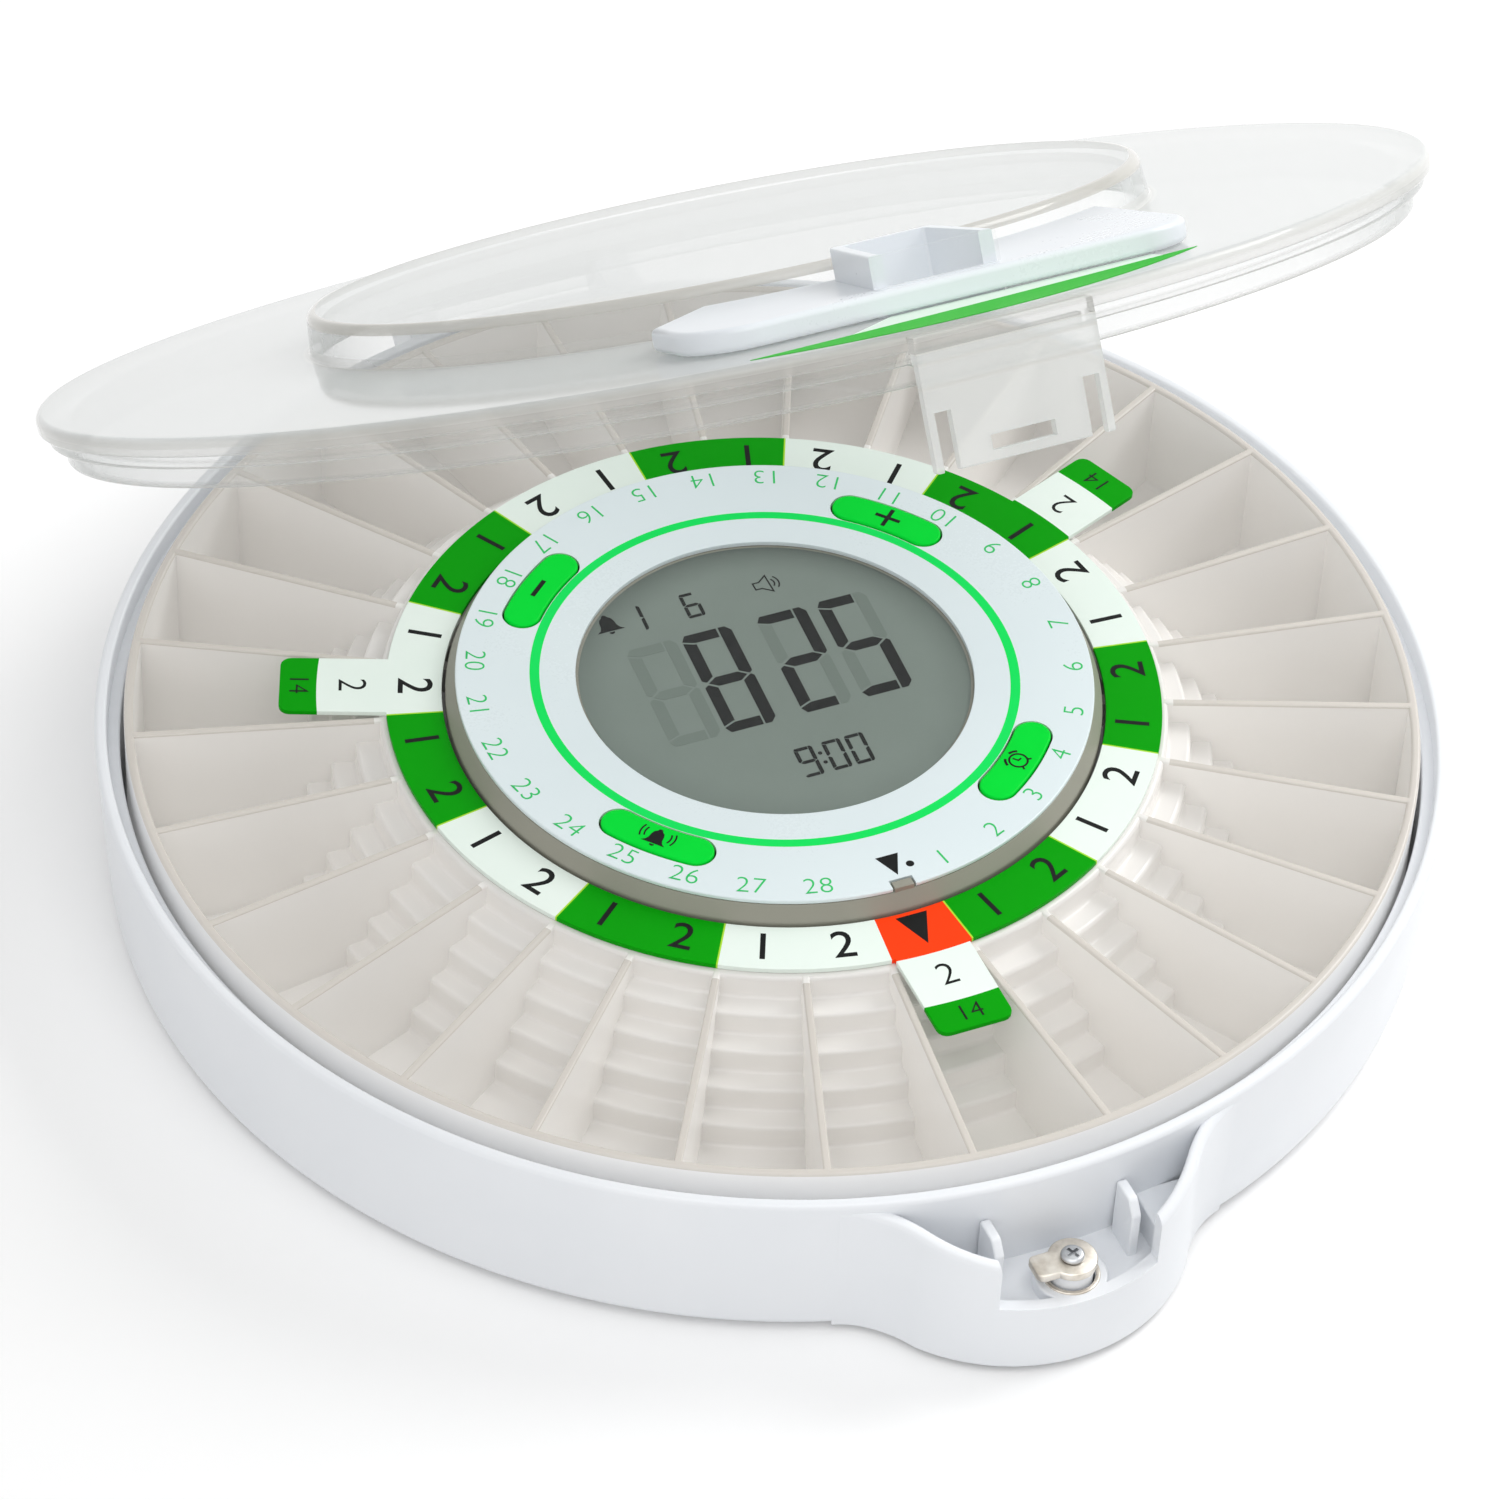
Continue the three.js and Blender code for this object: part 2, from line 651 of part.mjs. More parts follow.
function traySolid() {
  const deckUnder = trayTop - deckThickness;
  const width = (slopeFoot - slopeTop) / (stepCount - 1);
  const height = (trayTop - trayFloorTop) / stepCount;
  const slope = height / width;
  const underFoot = slopeFoot - hubWall;
  const underHub = trayFloorUnder + (underFoot - hubOuter) * slope;
  const shell = turned([
    [deckInner, deckUnder],
    [hubInner, deckUnder],
    [hubInner, hubFoot],
    [hubOuter, hubFoot],
    [hubOuter, underHub],
    [underFoot, trayFloorUnder],
    [trayRadius, trayFloorUnder],
    [trayRadius, trayTop],
    [trayRadius - trayWall, trayTop],
    [trayRadius - trayWall, trayFloorTop],
    ...slopeSteps().reverse(),
    [deckInner, trayTop],
  ], traySides);
  const floorMiddle = trayFloorUnder + trayFloorThickness / 2;
  const plateFoot = underFoot + trayFloorThickness / 2;
  const plateHead = slopeTop - trayWall / 2;
  const plate = [
    [plateHead, floorMiddle + (plateFoot - plateHead) * slope],
    [plateFoot, floorMiddle],
    [trayRadius - trayWall / 2, floorMiddle],
    [trayRadius - trayWall / 2, trayTop],
    [plateHead, trayTop],
  ];
  const plates = Array.from({ length: cellCount }, (_, cell) => (
    radialPlate(plate, partitionThickness, cellAngle(cell + 0.5))
  ));
  return join(shell, ...plates);
}

// A flat tab from the dosage ring out over a cell, with rounded outer corners
function ringTab(cell) {
  const shape = new THREE.Shape();
  shape.moveTo((ringInner + ringOuter) / 2, -tabHalfWidth);
  shape.lineTo(tabReach - tabRound, -tabHalfWidth);
  shape.absarc(tabReach - tabRound, -tabHalfWidth + tabRound, tabRound, -Math.PI / 2, 0, false);
  shape.absarc(tabReach - tabRound, tabHalfWidth - tabRound, tabRound, 0, Math.PI / 2, false);
  shape.lineTo((ringInner + ringOuter) / 2, tabHalfWidth);
  const tab = prism(shape, ringFloor, ringFloor + ringThickness, cornerSides);
  return tab.rotate([0, 0, THREE.MathUtils.radToDeg(cellAngle(cell))]);
}

// Points of a gear's edge: each tooth has a root and a tip, whose widths are shares of the pitch
function gearShape(teeth, rootRadius, tipRadius, phase) {
  const shape = new THREE.Path();
  const pitch = 2 * Math.PI / teeth;
  const corners = [
    [rootRadius, -toothRootShare],
    [tipRadius, -toothTipShare],
    [tipRadius, toothTipShare],
    [rootRadius, toothRootShare],
  ];
  const points = [];
  for (let tooth = 0; tooth < teeth; tooth += 1) {
    corners.forEach(([radius, share]) => {
      const angle = phase + (tooth + share / 2) * pitch;
      points.push(new THREE.Vector2(radius * Math.cos(angle), radius * Math.sin(angle)));
    });
  }
  return shape.setFromPoints(points);
}

function driveRing() {
  const shape = new THREE.Shape().absarc(0, 0, hubInner - fit, 0, 2 * Math.PI, false);
  const root = driveRingPitch + toothFootShare * driveModule;
  const tip = driveRingPitch - toothHeadShare * driveModule;
  shape.holes.push(gearShape(driveRingTeeth, root, tip, Math.PI / 2 + Math.PI / driveRingTeeth));
  return prism(shape, hubFoot, hubFoot + driveRingHeight, cellCount);
}

function addTray(root) {
  addPiece(root, 'tray', traySolid(), trayPlastic);
  const ring = turned([
    [ringInner, ringFloor],
    [ringOuter, ringFloor],
    [ringOuter, ringFloor + ringThickness],
    [ringInner, ringFloor + ringThickness],
  ], traySides);
  addPiece(root, 'dosage_ring', join(ring, ...tabCells.map(ringTab)), printedGreen);
  addPiece(root, 'tray_drive_ring', driveRing(), whitePlastic);
}

function addDrive(root) {
  const root12 = pinionPitch - toothFootShare * driveModule;
  const tip = pinionPitch + toothHeadShare * driveModule;
  const outline = new THREE.Shape(gearShape(pinionTeeth, root12, tip, Math.PI / 2).getPoints());
  const toMotor = [0, pinionOffset, 0];
  const pinion = prism(outline, pinionFloor, pinionFloor + pinionHeight).translate(toMotor)
    .subtract(cylinder(shaftRadius + fit, 0, pinionFloor + pinionHeight + cut, 0, pinionOffset));
  addPiece(root, 'drive_pinion', pinion, whitePlastic);
  const shaft = cylinder(shaftRadius, pinionFloor, motorFloor + shaftDepth - fit, 0, pinionOffset);
  addPiece(root, 'motor_shaft', shaft, steel);
  const motor = block(
    [-motorHalfWidth, pinionOffset - motorBack, motorFloor],
    [motorHalfWidth, pinionOffset + motorFront, motorFloor + motorHeight],
  ).subtract(cylinder(shaftRadius + fit, 0, motorFloor + shaftDepth, 0, pinionOffset));
  addPiece(root, 'gear_motor', motor, blackPlastic);
}

// Curved pill outline of a key, grown on every side
function keyPlan(angle, grow) {
  const half = keyHalfWidth + grow;
  const [from, to] = [angle - keyHalfAngle, angle + keyHalfAngle];
  const shape = new THREE.Shape();
  const endX = keyCircle * Math.cos(to);
  const endY = keyCircle * Math.sin(to);
  const startX = keyCircle * Math.cos(from);
  const startY = keyCircle * Math.sin(from);
  shape.absarc(0, 0, keyCircle + half, from, to, false);
  shape.absarc(endX, endY, half, to, to + Math.PI, false);
  shape.absarc(0, 0, keyCircle - half, to, from, true);
  shape.absarc(startX, startY, half, from + Math.PI, from + 2 * Math.PI, false);
  return shape;
}

function addControlUnit(root) {
  const plateUnder = housingTop - housingWall;
  const ledge = lensRadius - lensLedge;
  const keyHoles = keyAngles.map((angle) => (
    prism(keyPlan(angle, fit), keyFoot - cut, faceTop + cut, cornerSides + 2)
  ));
  const shell = turned([
    [ledge, plateUnder],
    [housingRadius - housingWall, plateUnder],
    [housingRadius - housingWall, housingFoot],
    [housingRadius, housingFoot],
    [housingRadius + housingFlare, housingTop - 2 * flareDrop],
    [housingRadius + housingFlare, housingTop - flareDrop],
    [housingRadius, housingTop],
    [ledge, housingTop],
  ]);
  const bosses = postPlaces.map(([x, y]) => cylinder(postRadius, housingFoot, housingTop - housingWall / 2, x, y));
  const bores = postPlaces.map(([x, y]) => cylinder(screwRadius + fit, 0, screwTop + fit, x, y));
  const pointer = block(
    [-pointerHalfWidth, -housingRadius, plateUnder],
    [pointerHalfWidth, -housingRadius + pointerDepth, faceTop],
  );
  addPiece(root, 'control_housing', carve(join(shell, ...bosses, pointer), ...keyHoles, ...bores), dialPlastic);

  const faceFloor = housingTop + seat;
  const face = turned([
    [lensRadius + fit, faceFloor],
    [housingRadius, faceFloor],
    [housingRadius, faceTop],
    [lensRadius + fit, faceTop],
  ]);
  const pointerNotch = block(
    [-pointerHalfWidth - fit, -housingRadius - cut, housingTop],
    [pointerHalfWidth + fit, -housingRadius + pointerDepth + fit, faceTop + cut],
  );
  addPiece(root, 'dial_face', carve(face, ...keyHoles, pointerNotch), printedWhite);
  const lens = cylinder(lensRadius, faceFloor, faceFloor + lensThickness, 0, 0, roundSides);
  addPiece(root, 'display_lens', lens, clearPlastic);
  const display = cylinder(displayRadius, boardTop + seat, housingTop - seat, 0, 0, roundSides);
  addPiece(root, 'display_module', display, lcdGrey);
  postPlaces.forEach(([x, y], index) => {
    const screw = join(
      cylinder(screwHeadRadius, screwFloor, screwHeadTop, x, y),
      cylinder(screwRadius, screwFloor, screwTop, x, y),
    );
    addPiece(root, `housing_screw_${index + 1}`, screw, steel);
  });
}

function addElectronics(root) {
  const notches = postPlaces.map(([x, y]) => cylinder(postRadius + fit, 0, boardTop + cut, x, y));
  const board = carve(cylinder(boardRadius, boardFloor, boardTop, 0, 0, roundSides / 2), ...notches);
  addPiece(root, 'circuit_board', board, boardGreen);
  keyAngles.forEach((angle, index) => {
    const [x, y] = [keyCircle * Math.cos(angle), keyCircle * Math.sin(angle)];
    const floor = boardTop + seat;
    const key = prism(keyPlan(angle, 0), keyFoot, faceTop + keyRise, cornerSides + 2);
    addPiece(root, keyNames[index], key, keyGreen);
    const keySwitch = join(
      block([x - switchHalf, y - switchHalf, floor], [x + switchHalf, y + switchHalf, floor + switchHeight]),
      cylinder(plungerRadius, floor, floor + switchHeight + plungerHeight - seat, x, y),
    );
    addPiece(root, keyNames[index].replace('key', 'switch'), keySwitch, blackPlastic);
  });
  const under = boardFloor - seat;
  addPiece(root, 'alarm_buzzer', cylinder(buzzerRadius, under - buzzerHeight, under, ...buzzerPlace), blackPlastic);
  addPiece(root, 'tilt_sensor', cylinder(tiltRadius, under - buzzerHeight, under, ...tiltPlace), nickel);
  const readerFar = hubInner - trayReaderInset;
  const reader = block(
    [-trayReaderHalf, -readerFar, floorTop + seat],
    [trayReaderHalf, -readerFar + trayReaderDepth, floorTop + seat + trayReaderHeight],
  );
  addPiece(root, 'tray_position_sensor', reader, blackPlastic);
}

// Plan of the chute's port, a wedge over one cell, grown on every side
function portPlan(grow) {
  const near = portNear * Math.tan(portHalfAngle) + grow;
  const far = portFar * Math.tan(portHalfAngle) + grow;
  return polygon([
    [-near, -portNear + grow],
    [-far, -portFar - grow],
    [far, -portFar - grow],
    [near, -portNear + grow],
  ]);
}

function lidSolid() {
  const plateUnder = lidTop - lidPlate;
  const skirtInner = lowerSkirtRadius - skirtWall;
  const bell = turned([
    [0, lidTop + domeHeight - domeWall],
    [domeRadius - domeWall, lidTop + domeHeight - domeWall],
    [domeRadius + domeFlare - domeWall, plateUnder],
    [skirtInner, plateUnder],
    [skirtInner, lidTop - lowerSkirtHeight],
    [lowerSkirtRadius, lidTop - lowerSkirtHeight],
    [lowerSkirtRadius, lidTop - upperSkirtHeight],
    [upperSkirtRadius, lidTop - upperSkirtHeight],
    [upperSkirtRadius, lidTop - lipHeight],
    [lidRadius, lidTop - lipHeight],
    [lidRadius, lidTop - lipRound],
    [lidRadius - lipRound, lidTop],
    [domeRadius + domeFlare, lidTop],
    [domeRadius, lidTop + domeHeight - domeRound],
    [domeRadius - domeRound, lidTop + domeHeight],
    [0, lidTop + domeHeight],
  ]);
  const port = prism(portPlan(collarWall + fit), plateUnder - cut, lidTop + domeHeight + cut);
  const lugFront = lugBack + lugThickness;
  const lugHead = lidTop - lipRound;
  const lugNeck = lidTop - lipHeight;
  const tongue = join(
    block([-lugHalfWidth, -lugFront, lugFoot], [lugHalfWidth, -lugBack, lugHead]),
    block([-lugHalfWidth, -lugFront, lugNeck], [lugHalfWidth, -upperSkirtRadius + skirtWall, lugHead]),
    ...[-lugHalfWidth, lugHalfWidth - lugFlange].map((x) => block(
      [x, -lugFront, lidTop - upperSkirtHeight],
      [x + lugFlange, -upperSkirtRadius + skirtWall, lugHead],
    )),
  );
  const catchSlot = block(
    [-catchHalfWidth, -lugFront - cut, catchFloor],
    [catchHalfWidth, -lugBack + cut, catchFloor + catchHeight],
  );
  const ribSlots = [-ribOffset, ribOffset].map((x) => block(
    [x - ribThickness / 2 - ribGap, -lugFront - cut, lugFoot - cut],
    [x + ribThickness / 2 + ribGap, -lugBack + cut, ribTop + ribGap],
  ));
  const arm = join(
    sidePlate([
      [lidRadius - lipHeight, plateUnder],
      [lidRadius, lidTop - lipHeight],
      [hingeY - knuckleRadius, hingeZ],
      [hingeY + knuckleRadius, hingeZ],
      [hingeY, (hingeZ + lidTop) / 2],
      [lidRadius + lipHeight, lidTop - lipRound],
      [lidRadius - lipHeight, lidTop - lipRound],
    ], -knuckleHalf, knuckleHalf),
    bar(knuckleRadius, knuckleHalf, 0, hingeY, hingeZ),
  );
  const bore = bar(pinRadius + fit, knuckleHalf + cut, 0, hingeY, hingeZ);
  return carve(join(bell, carve(tongue, catchSlot, ...ribSlots), arm), port, bore);
}

function chuteSolid() {
  const floor = lidTop + fit;
  const side = chuteHalfWidth - chuteRound;
  const front = chuteFront - chuteRound;
  const backY = Math.sqrt(chuteBack ** 2 - chuteHalfWidth ** 2);
  const backAngle = Math.atan2(-backY, chuteHalfWidth);
  const plan = new THREE.Shape();
  plan.moveTo(-chuteHalfWidth, -backY);
  plan.absarc(-side, -front, chuteRound, Math.PI, 3 * Math.PI / 2, false);
  plan.absarc(side, -front, chuteRound, -Math.PI / 2, 0, false);
  plan.absarc(0, 0, chuteBack, backAngle, -Math.PI - backAngle, true);
  const plate = prism(plan, floor, floor + chuteThickness);
  const collar = prism(portPlan(collarWall), lidTop - lidPlate, floor + chuteThickness + collarHeight);
  const port = prism(portPlan(0), lidTop - lidPlate - cut, floor + chuteThickness + collarHeight + cut);
  return plate.add(collar).subtract(port);
}

// The lid's group turns about the hinge pin, so its pieces are drawn from the pin
function addLid(root) {
  const lid = new THREE.Group();
  lid.position.set(0, hingeY, hingeZ);
  lid.rotation.x = -openAngle;
  const fromPin = [0, -hingeY, -hingeZ];
  addPiece(lid, 'lid_shell', lidSolid().translate(fromPin), clearPlastic);
  addPiece(lid, 'chute_plate', chuteSolid().translate(fromPin), whitePlastic);
  root.add(lid);
}

const dispenser = new THREE.Group();
addBase(dispenser);
addLock(dispenser);
addTray(dispenser);
addDrive(dispenser);
addControlUnit(dispenser);
addElectronics(dispenser);
addLid(dispenser);

export default dispenser;
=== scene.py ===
import math
import bpy
import bmesh
from mathutils import Matrix, Vector


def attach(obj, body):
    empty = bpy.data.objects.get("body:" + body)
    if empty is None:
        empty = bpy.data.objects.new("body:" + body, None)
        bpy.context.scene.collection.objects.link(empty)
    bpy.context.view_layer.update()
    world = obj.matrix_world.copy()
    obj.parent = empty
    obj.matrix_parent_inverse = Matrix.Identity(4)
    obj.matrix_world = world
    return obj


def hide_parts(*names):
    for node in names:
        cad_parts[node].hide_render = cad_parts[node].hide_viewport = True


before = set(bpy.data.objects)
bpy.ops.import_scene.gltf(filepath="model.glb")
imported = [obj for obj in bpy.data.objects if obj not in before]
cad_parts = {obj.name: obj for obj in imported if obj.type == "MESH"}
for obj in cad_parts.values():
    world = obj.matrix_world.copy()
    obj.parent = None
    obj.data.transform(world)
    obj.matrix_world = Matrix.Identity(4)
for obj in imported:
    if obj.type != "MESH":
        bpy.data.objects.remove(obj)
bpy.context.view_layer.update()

scene = bpy.context.scene
mm = 0.001
sharpAngle = math.radians(34)
ink = 0.02  # half the height of raised print
cells = 29
print('frame loaded:', len(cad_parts), 'nodes')


class Sizes(dict):
    # a dictionary whose values are read by name, as in tub.rimRadius
    __getattr__ = dict.__getitem__


# meshes, drawn in millimetres and scaled once they are finished

def newObject(name, data):
    thing = bpy.data.objects.new(name, data)
    scene.collection.objects.link(thing)
    return thing


def workMesh(name, work):
    mesh = bpy.data.meshes.new(name)
    work.to_mesh(mesh)
    work.free()
    return newObject(name, mesh)


def closedMesh(name, work):
    bmesh.ops.remove_doubles(work, verts=work.verts, dist=1e-5)
    return workMesh(name, work)


def evaluated(thing):
    graph = bpy.context.evaluated_depsgraph_get()
    return bpy.data.meshes.new_from_object(thing.evaluated_get(graph))


def applied(thing):
    mesh, old = evaluated(thing), thing.data
    thing.modifiers.clear()
    thing.data = mesh
    bpy.data.meshes.remove(old)
    return thing


def curveMesh(curve):
    holder = newObject('curveHolder', curve)
    mesh = evaluated(holder)
    bpy.data.objects.remove(holder)
    bpy.data.curves.remove(curve)
    return mesh


def rounded(corners, steps=4):
    # corners are (x, y) or (x, y, radius), in order round the outline
    points = []
    for i, corner in enumerate(corners):
        here = Vector(corner[:2])
        radius = corner[2] if len(corner) > 2 else 0
        if not radius:
            points.append(here)
            continue
        back = (Vector(corners[i - 1][:2]) - here).normalized()
        ahead = (Vector(corners[(i + 1) % len(corners)][:2]) - here).normalized()
        half = back.angle(ahead) / 2
        centre = here + (back + ahead).normalized() * radius / math.sin(half)
        start = here + back * radius / math.tan(half) - centre
        stop = here + ahead * radius / math.tan(half) - centre
        first = math.atan2(start.y, start.x)
        swing = (math.atan2(stop.y, stop.x) - first + math.pi) % (2 * math.pi) - math.pi
        for step in range(steps + 1):
            angle = first + swing * step / steps
            points.append(centre + radius * Vector((math.cos(angle), math.sin(angle))))
    return points


def polar(radius, angle, x=0.0, y=0.0):
    return x + radius * math.cos(angle), y + radius * math.sin(angle)


def arc(x, y, radius, start, stop, steps=24):
    angles = [start + (stop - start) * i / steps for i in range(steps + 1)]
    return [Vector(polar(radius, angle, x, y)) for angle in angles]


def circle(x, y, radius, steps):
    return arc(x, y, radius, 0, 2 * math.pi, steps)[:-1]


def turned(name, corners, sides=240, steps=4):
    # a body of revolution: the (radius, height) outline runs anticlockwise
    work = bmesh.new()
    rings = []
    for radius, height in rounded(corners, steps):
        count = sides if radius > 1e-6 else 1
        spots = [polar(radius, 2 * math.pi * j / sides) for j in range(count)]
        rings.append([work.verts.new((x, y, height)) for x, y in spots])
    for low, high in zip(rings, rings[1:] + rings[:1]):
        if len(low) == 1 and len(high) == 1:
            continue
        for j in range(sides):
            around = ((low, j), (low, j + 1), (high, j + 1), (high, j))
            work.faces.new(list(dict.fromkeys(ring[k % len(ring)] for ring, k in around)))
    return closedMesh(name, work)


def hoop(name, inner, outer, low, high, edges=(0, 0, 0, 0), sides=240, steps=4):
    # a ring or disc; its edges are rounded inside low, outside low, outside high, inside high
    corners = zip((inner, outer, outer, inner), (low, low, high, high), edges)
    return turned(name, list(corners), sides, steps)


def slab(name, loops, low, high, edge=0.0, steps=2):
    # a flat plate between two heights, holes as further loops, with its edges rounded by edge
    curve = bpy.data.curves.new(name, 'CURVE')
    curve.dimensions = '2D'
    curve.fill_mode = 'BOTH'
    for loop in loops:
        spline = curve.splines.new('POLY')
        spline.points.add(len(loop) - 1)
        for point, (x, y) in zip(spline.points, loop):
            point.co = (x, y, 0, 1)
        spline.use_cyclic_u = True
    curve.extrude = (high - low) / 2 - edge
    curve.bevel_depth = edge
    curve.bevel_resolution = steps
    curve.offset = -edge
    mesh = curveMesh(curve)
    work = bmesh.new()
    work.from_mesh(mesh)
    bpy.data.meshes.remove(mesh)
    bmesh.ops.remove_doubles(work, verts=work.verts, dist=1e-4)
    bmesh.ops.dissolve_degenerate(work, dist=1e-5, edges=work.edges)
    bmesh.ops.recalc_face_normals(work, faces=work.faces)
    bmesh.ops.translate(work, verts=work.verts, vec=(0, 0, (low + high) / 2))
    return closedMesh(name, work)


def block(name, x0, x1, y0, y1, low, high, edge=0.0):
    return slab(name, [[(x0, y0), (x1, y0), (x1, y1), (x0, y1)]], low, high, edge)


def bar(name, half, *bounds):
    # a block that lies evenly about x = 0, then its bounds in y and z
    return block(name, -half, half, *bounds)


def tipped(thing, matrix):
    thing.data.transform(matrix)
    return thing


def shifted(thing, offset):
    return tipped(thing, Matrix.Translation(offset))


def spun(angle):
    return Matrix.Rotation(angle, 4, 'Z')


def rod(name, radius, low, high, x=0.0, y=0.0, edge=0.0, sides=48):
    return shifted(hoop(name, 0, radius, low, high, (0, edge, edge, 0), sides, 3), (x, y, 0))


def sideways(thing, y=0, z=0):
    # lays a body drawn in x and y across the box, its height along x
    return tipped(thing, Matrix(((0, 0, 1, 0), (1, 0, 0, y), (0, 1, 0, z), (0, 0, 0, 1))))


def sidePlate(name, corners, x0, x1, edge=0.0):
    # a plate of (y, z) corners between two values of x
    return sideways(slab(name, [rounded(corners)], x0, x1, edge))


def combined(kind, base, others):
    for solver in ('MANIFOLD', 'EXACT'):
        before = (len(base.data.vertices), len(base.data.polygons))
        for other in others:
            change = base.modifiers.new('change', 'BOOLEAN')
            change.operation = kind
            change.object = other
            change.solver = solver
        applied(base)
        if (len(base.data.vertices), len(base.data.polygons)) != before:
            break
        print('no change by', solver, 'on', base.name)
    for other in others:
        bpy.data.objects.remove(other)
    return base


def carved(base, *cutters):
    return combined('DIFFERENCE', base, cutters)


def fused(base, *others):
    return combined('UNION', base, others)


def gathered(name, things):
    # several separate bodies as one mesh
    work = bmesh.new()
    for thing in things:
        work.from_mesh(thing.data)
        bpy.data.objects.remove(thing)
    return workMesh(name, work)


def dressed(thing, body, slot, finish, *nodes):
    # scales a finished mesh to metres, smooths it and hands it to its body
    mesh = thing.data
    mesh.transform(Matrix.Scale(mm, 4))
    mesh.shade_smooth()
    mesh.set_sharp_from_angle(angle=sharpAngle)
    weigh = thing.modifiers.new('weigh', 'WEIGHTED_NORMAL')
    weigh.keep_sharp = True
    applied(thing)
    thing.data.materials.clear()
    thing.data.materials.append(finishes[finish])
    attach(thing, body)
    if nodes:
        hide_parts(*nodes)


# nodes, for finishes and for repeated parts

class Wire:
    # an output of a node, which + - * / ** > and < join to maths nodes
    def __init__(self, board, socket):
        self.board = board
        self.socket = socket


def mathSign(kind, swapped=False):
    def apply(self, other):
        return self.board.function(kind, *((other, self) if swapped else (self, other)))
    return apply


for sign, kind in {
    'add': 'ADD', 'sub': 'SUBTRACT', 'mul': 'MULTIPLY', 'truediv': 'DIVIDE', 'pow': 'POWER',
    'gt': 'GREATER_THAN', 'lt': 'LESS_THAN',
}.items():
    setattr(Wire, f'__{sign}__', mathSign(kind))
    if sign in ('add', 'sub', 'mul'):
        setattr(Wire, f'__r{sign}__', mathSign(kind, True))


class Board:
    def __init__(self, tree):
        self.tree = tree

    def add(self, kind, inputs=None, output=0, **settings):
        node = self.tree.nodes.new(kind)
        for key, value in settings.items():
            setattr(node, key, value)
        for key, value in (inputs or {}).items():
            if isinstance(value, Wire):
                self.tree.links.new(value.socket, node.inputs[key])
            else:
                node.inputs[key].default_value = value
        return Wire(self, node.outputs[output]) if len(node.outputs) else node

    def function(self, kind, first, second=0.0):
        return self.add('ShaderNodeMath', {0: first, 1: second}, operation=kind)

    def clamped(self, value):
        return self.function('MINIMUM', self.function('MAXIMUM', value, 0.0), 1.0)

    def near(self, value, centre, width):
        return self.clamped(1.0 - self.function('ABSOLUTE', value - centre) / width)

    def blend(self, share, first, second):
        # each side is a wire or a screen colour
        first, second = (side if isinstance(side, Wire) else tone(*side) for side in (first, second))
        return self.add('ShaderNodeMix', {0: share, 6: first, 7: second}, 2, data_type='RGBA')

    def place(self):
        return self.add('ShaderNodeTexCoord', output='Object')

    def parts(self, place=None):
        split = self.tree.nodes.new('ShaderNodeSeparateXYZ')
        self.tree.links.new((place or self.place()).socket, split.inputs[0])
        return [Wire(self, socket) for socket in split.outputs]

    def radius(self, x, y):
        # millimetres from the box's upright axis
        return self.function('SQRT', x * x + y * y) * 1000.0

    def facing(self, blend):
        return self.add('ShaderNodeLayerWeight', {'Blend': blend}, 'Facing')

    def cloud(self, scale, detail=2.0, stretch=None):
        place = self.place()
        if stretch:
            place = self.add('ShaderNodeMapping', {'Vector': place, 'Scale': stretch})
        return self.add('ShaderNodeTexNoise', {'Vector': place, 'Scale': scale, 'Detail': detail})

    def bump(self, height, depth):
        return self.add('ShaderNodeBump', {'Height': height, 'Distance': depth, 'Strength': 1.0})

    def seen(self):
        # one for what the camera sees straight, in a mirror or through glass
        kinds = ('Camera', 'Glossy', 'Transmission')
        first, second, third = (self.add('ShaderNodeLightPath', output=f'Is {kind} Ray') for kind in kinds)
        return self.function('MAXIMUM', self.function('MAXIMUM', first, second), third)

    def finish(self, **values):
        inputs = {key.replace('_', ' '): value for key, value in values.items()}
        shader = self.add('ShaderNodeBsdfPrincipled', inputs)
        self.add('ShaderNodeOutputMaterial', {'Surface': shader})


def tone(red, green, blue):
    # a screen colour, 0 to 255, as the shader reads it
    def linear(level):
        level /= 255
        return level / 12.92 if level <= 0.04045 else ((level + 0.055) / 1.055) ** 2.4
    return (linear(red), linear(green), linear(blue), 1.0)


def clearBoard(owner):
    owner.use_nodes = True
    owner.node_tree.nodes.clear()
    return Board(owner.node_tree)


finishes = {}


def newFinish(name):
    finishes[name] = bpy.data.materials.new(name)
    return clearBoard(finishes[name])


def moulded(name, light, dark, gloss, grain=0.00001, shine=0.5, patch=55.0, grainScale=1500.0):
    # plastic with a slow drift of colour and gloss, and a fine mould grain
    board = newFinish(name)
    drift = board.cloud(patch, 3.0)
    speck = board.cloud(grainScale)
    board.finish(
        Base_Color=board.blend(drift, light, dark),
        Roughness=gloss + 0.10 * drift + 0.04 * speck,
        Normal=board.bump(speck, grain),
        Specular_IOR_Level=shine,
    )


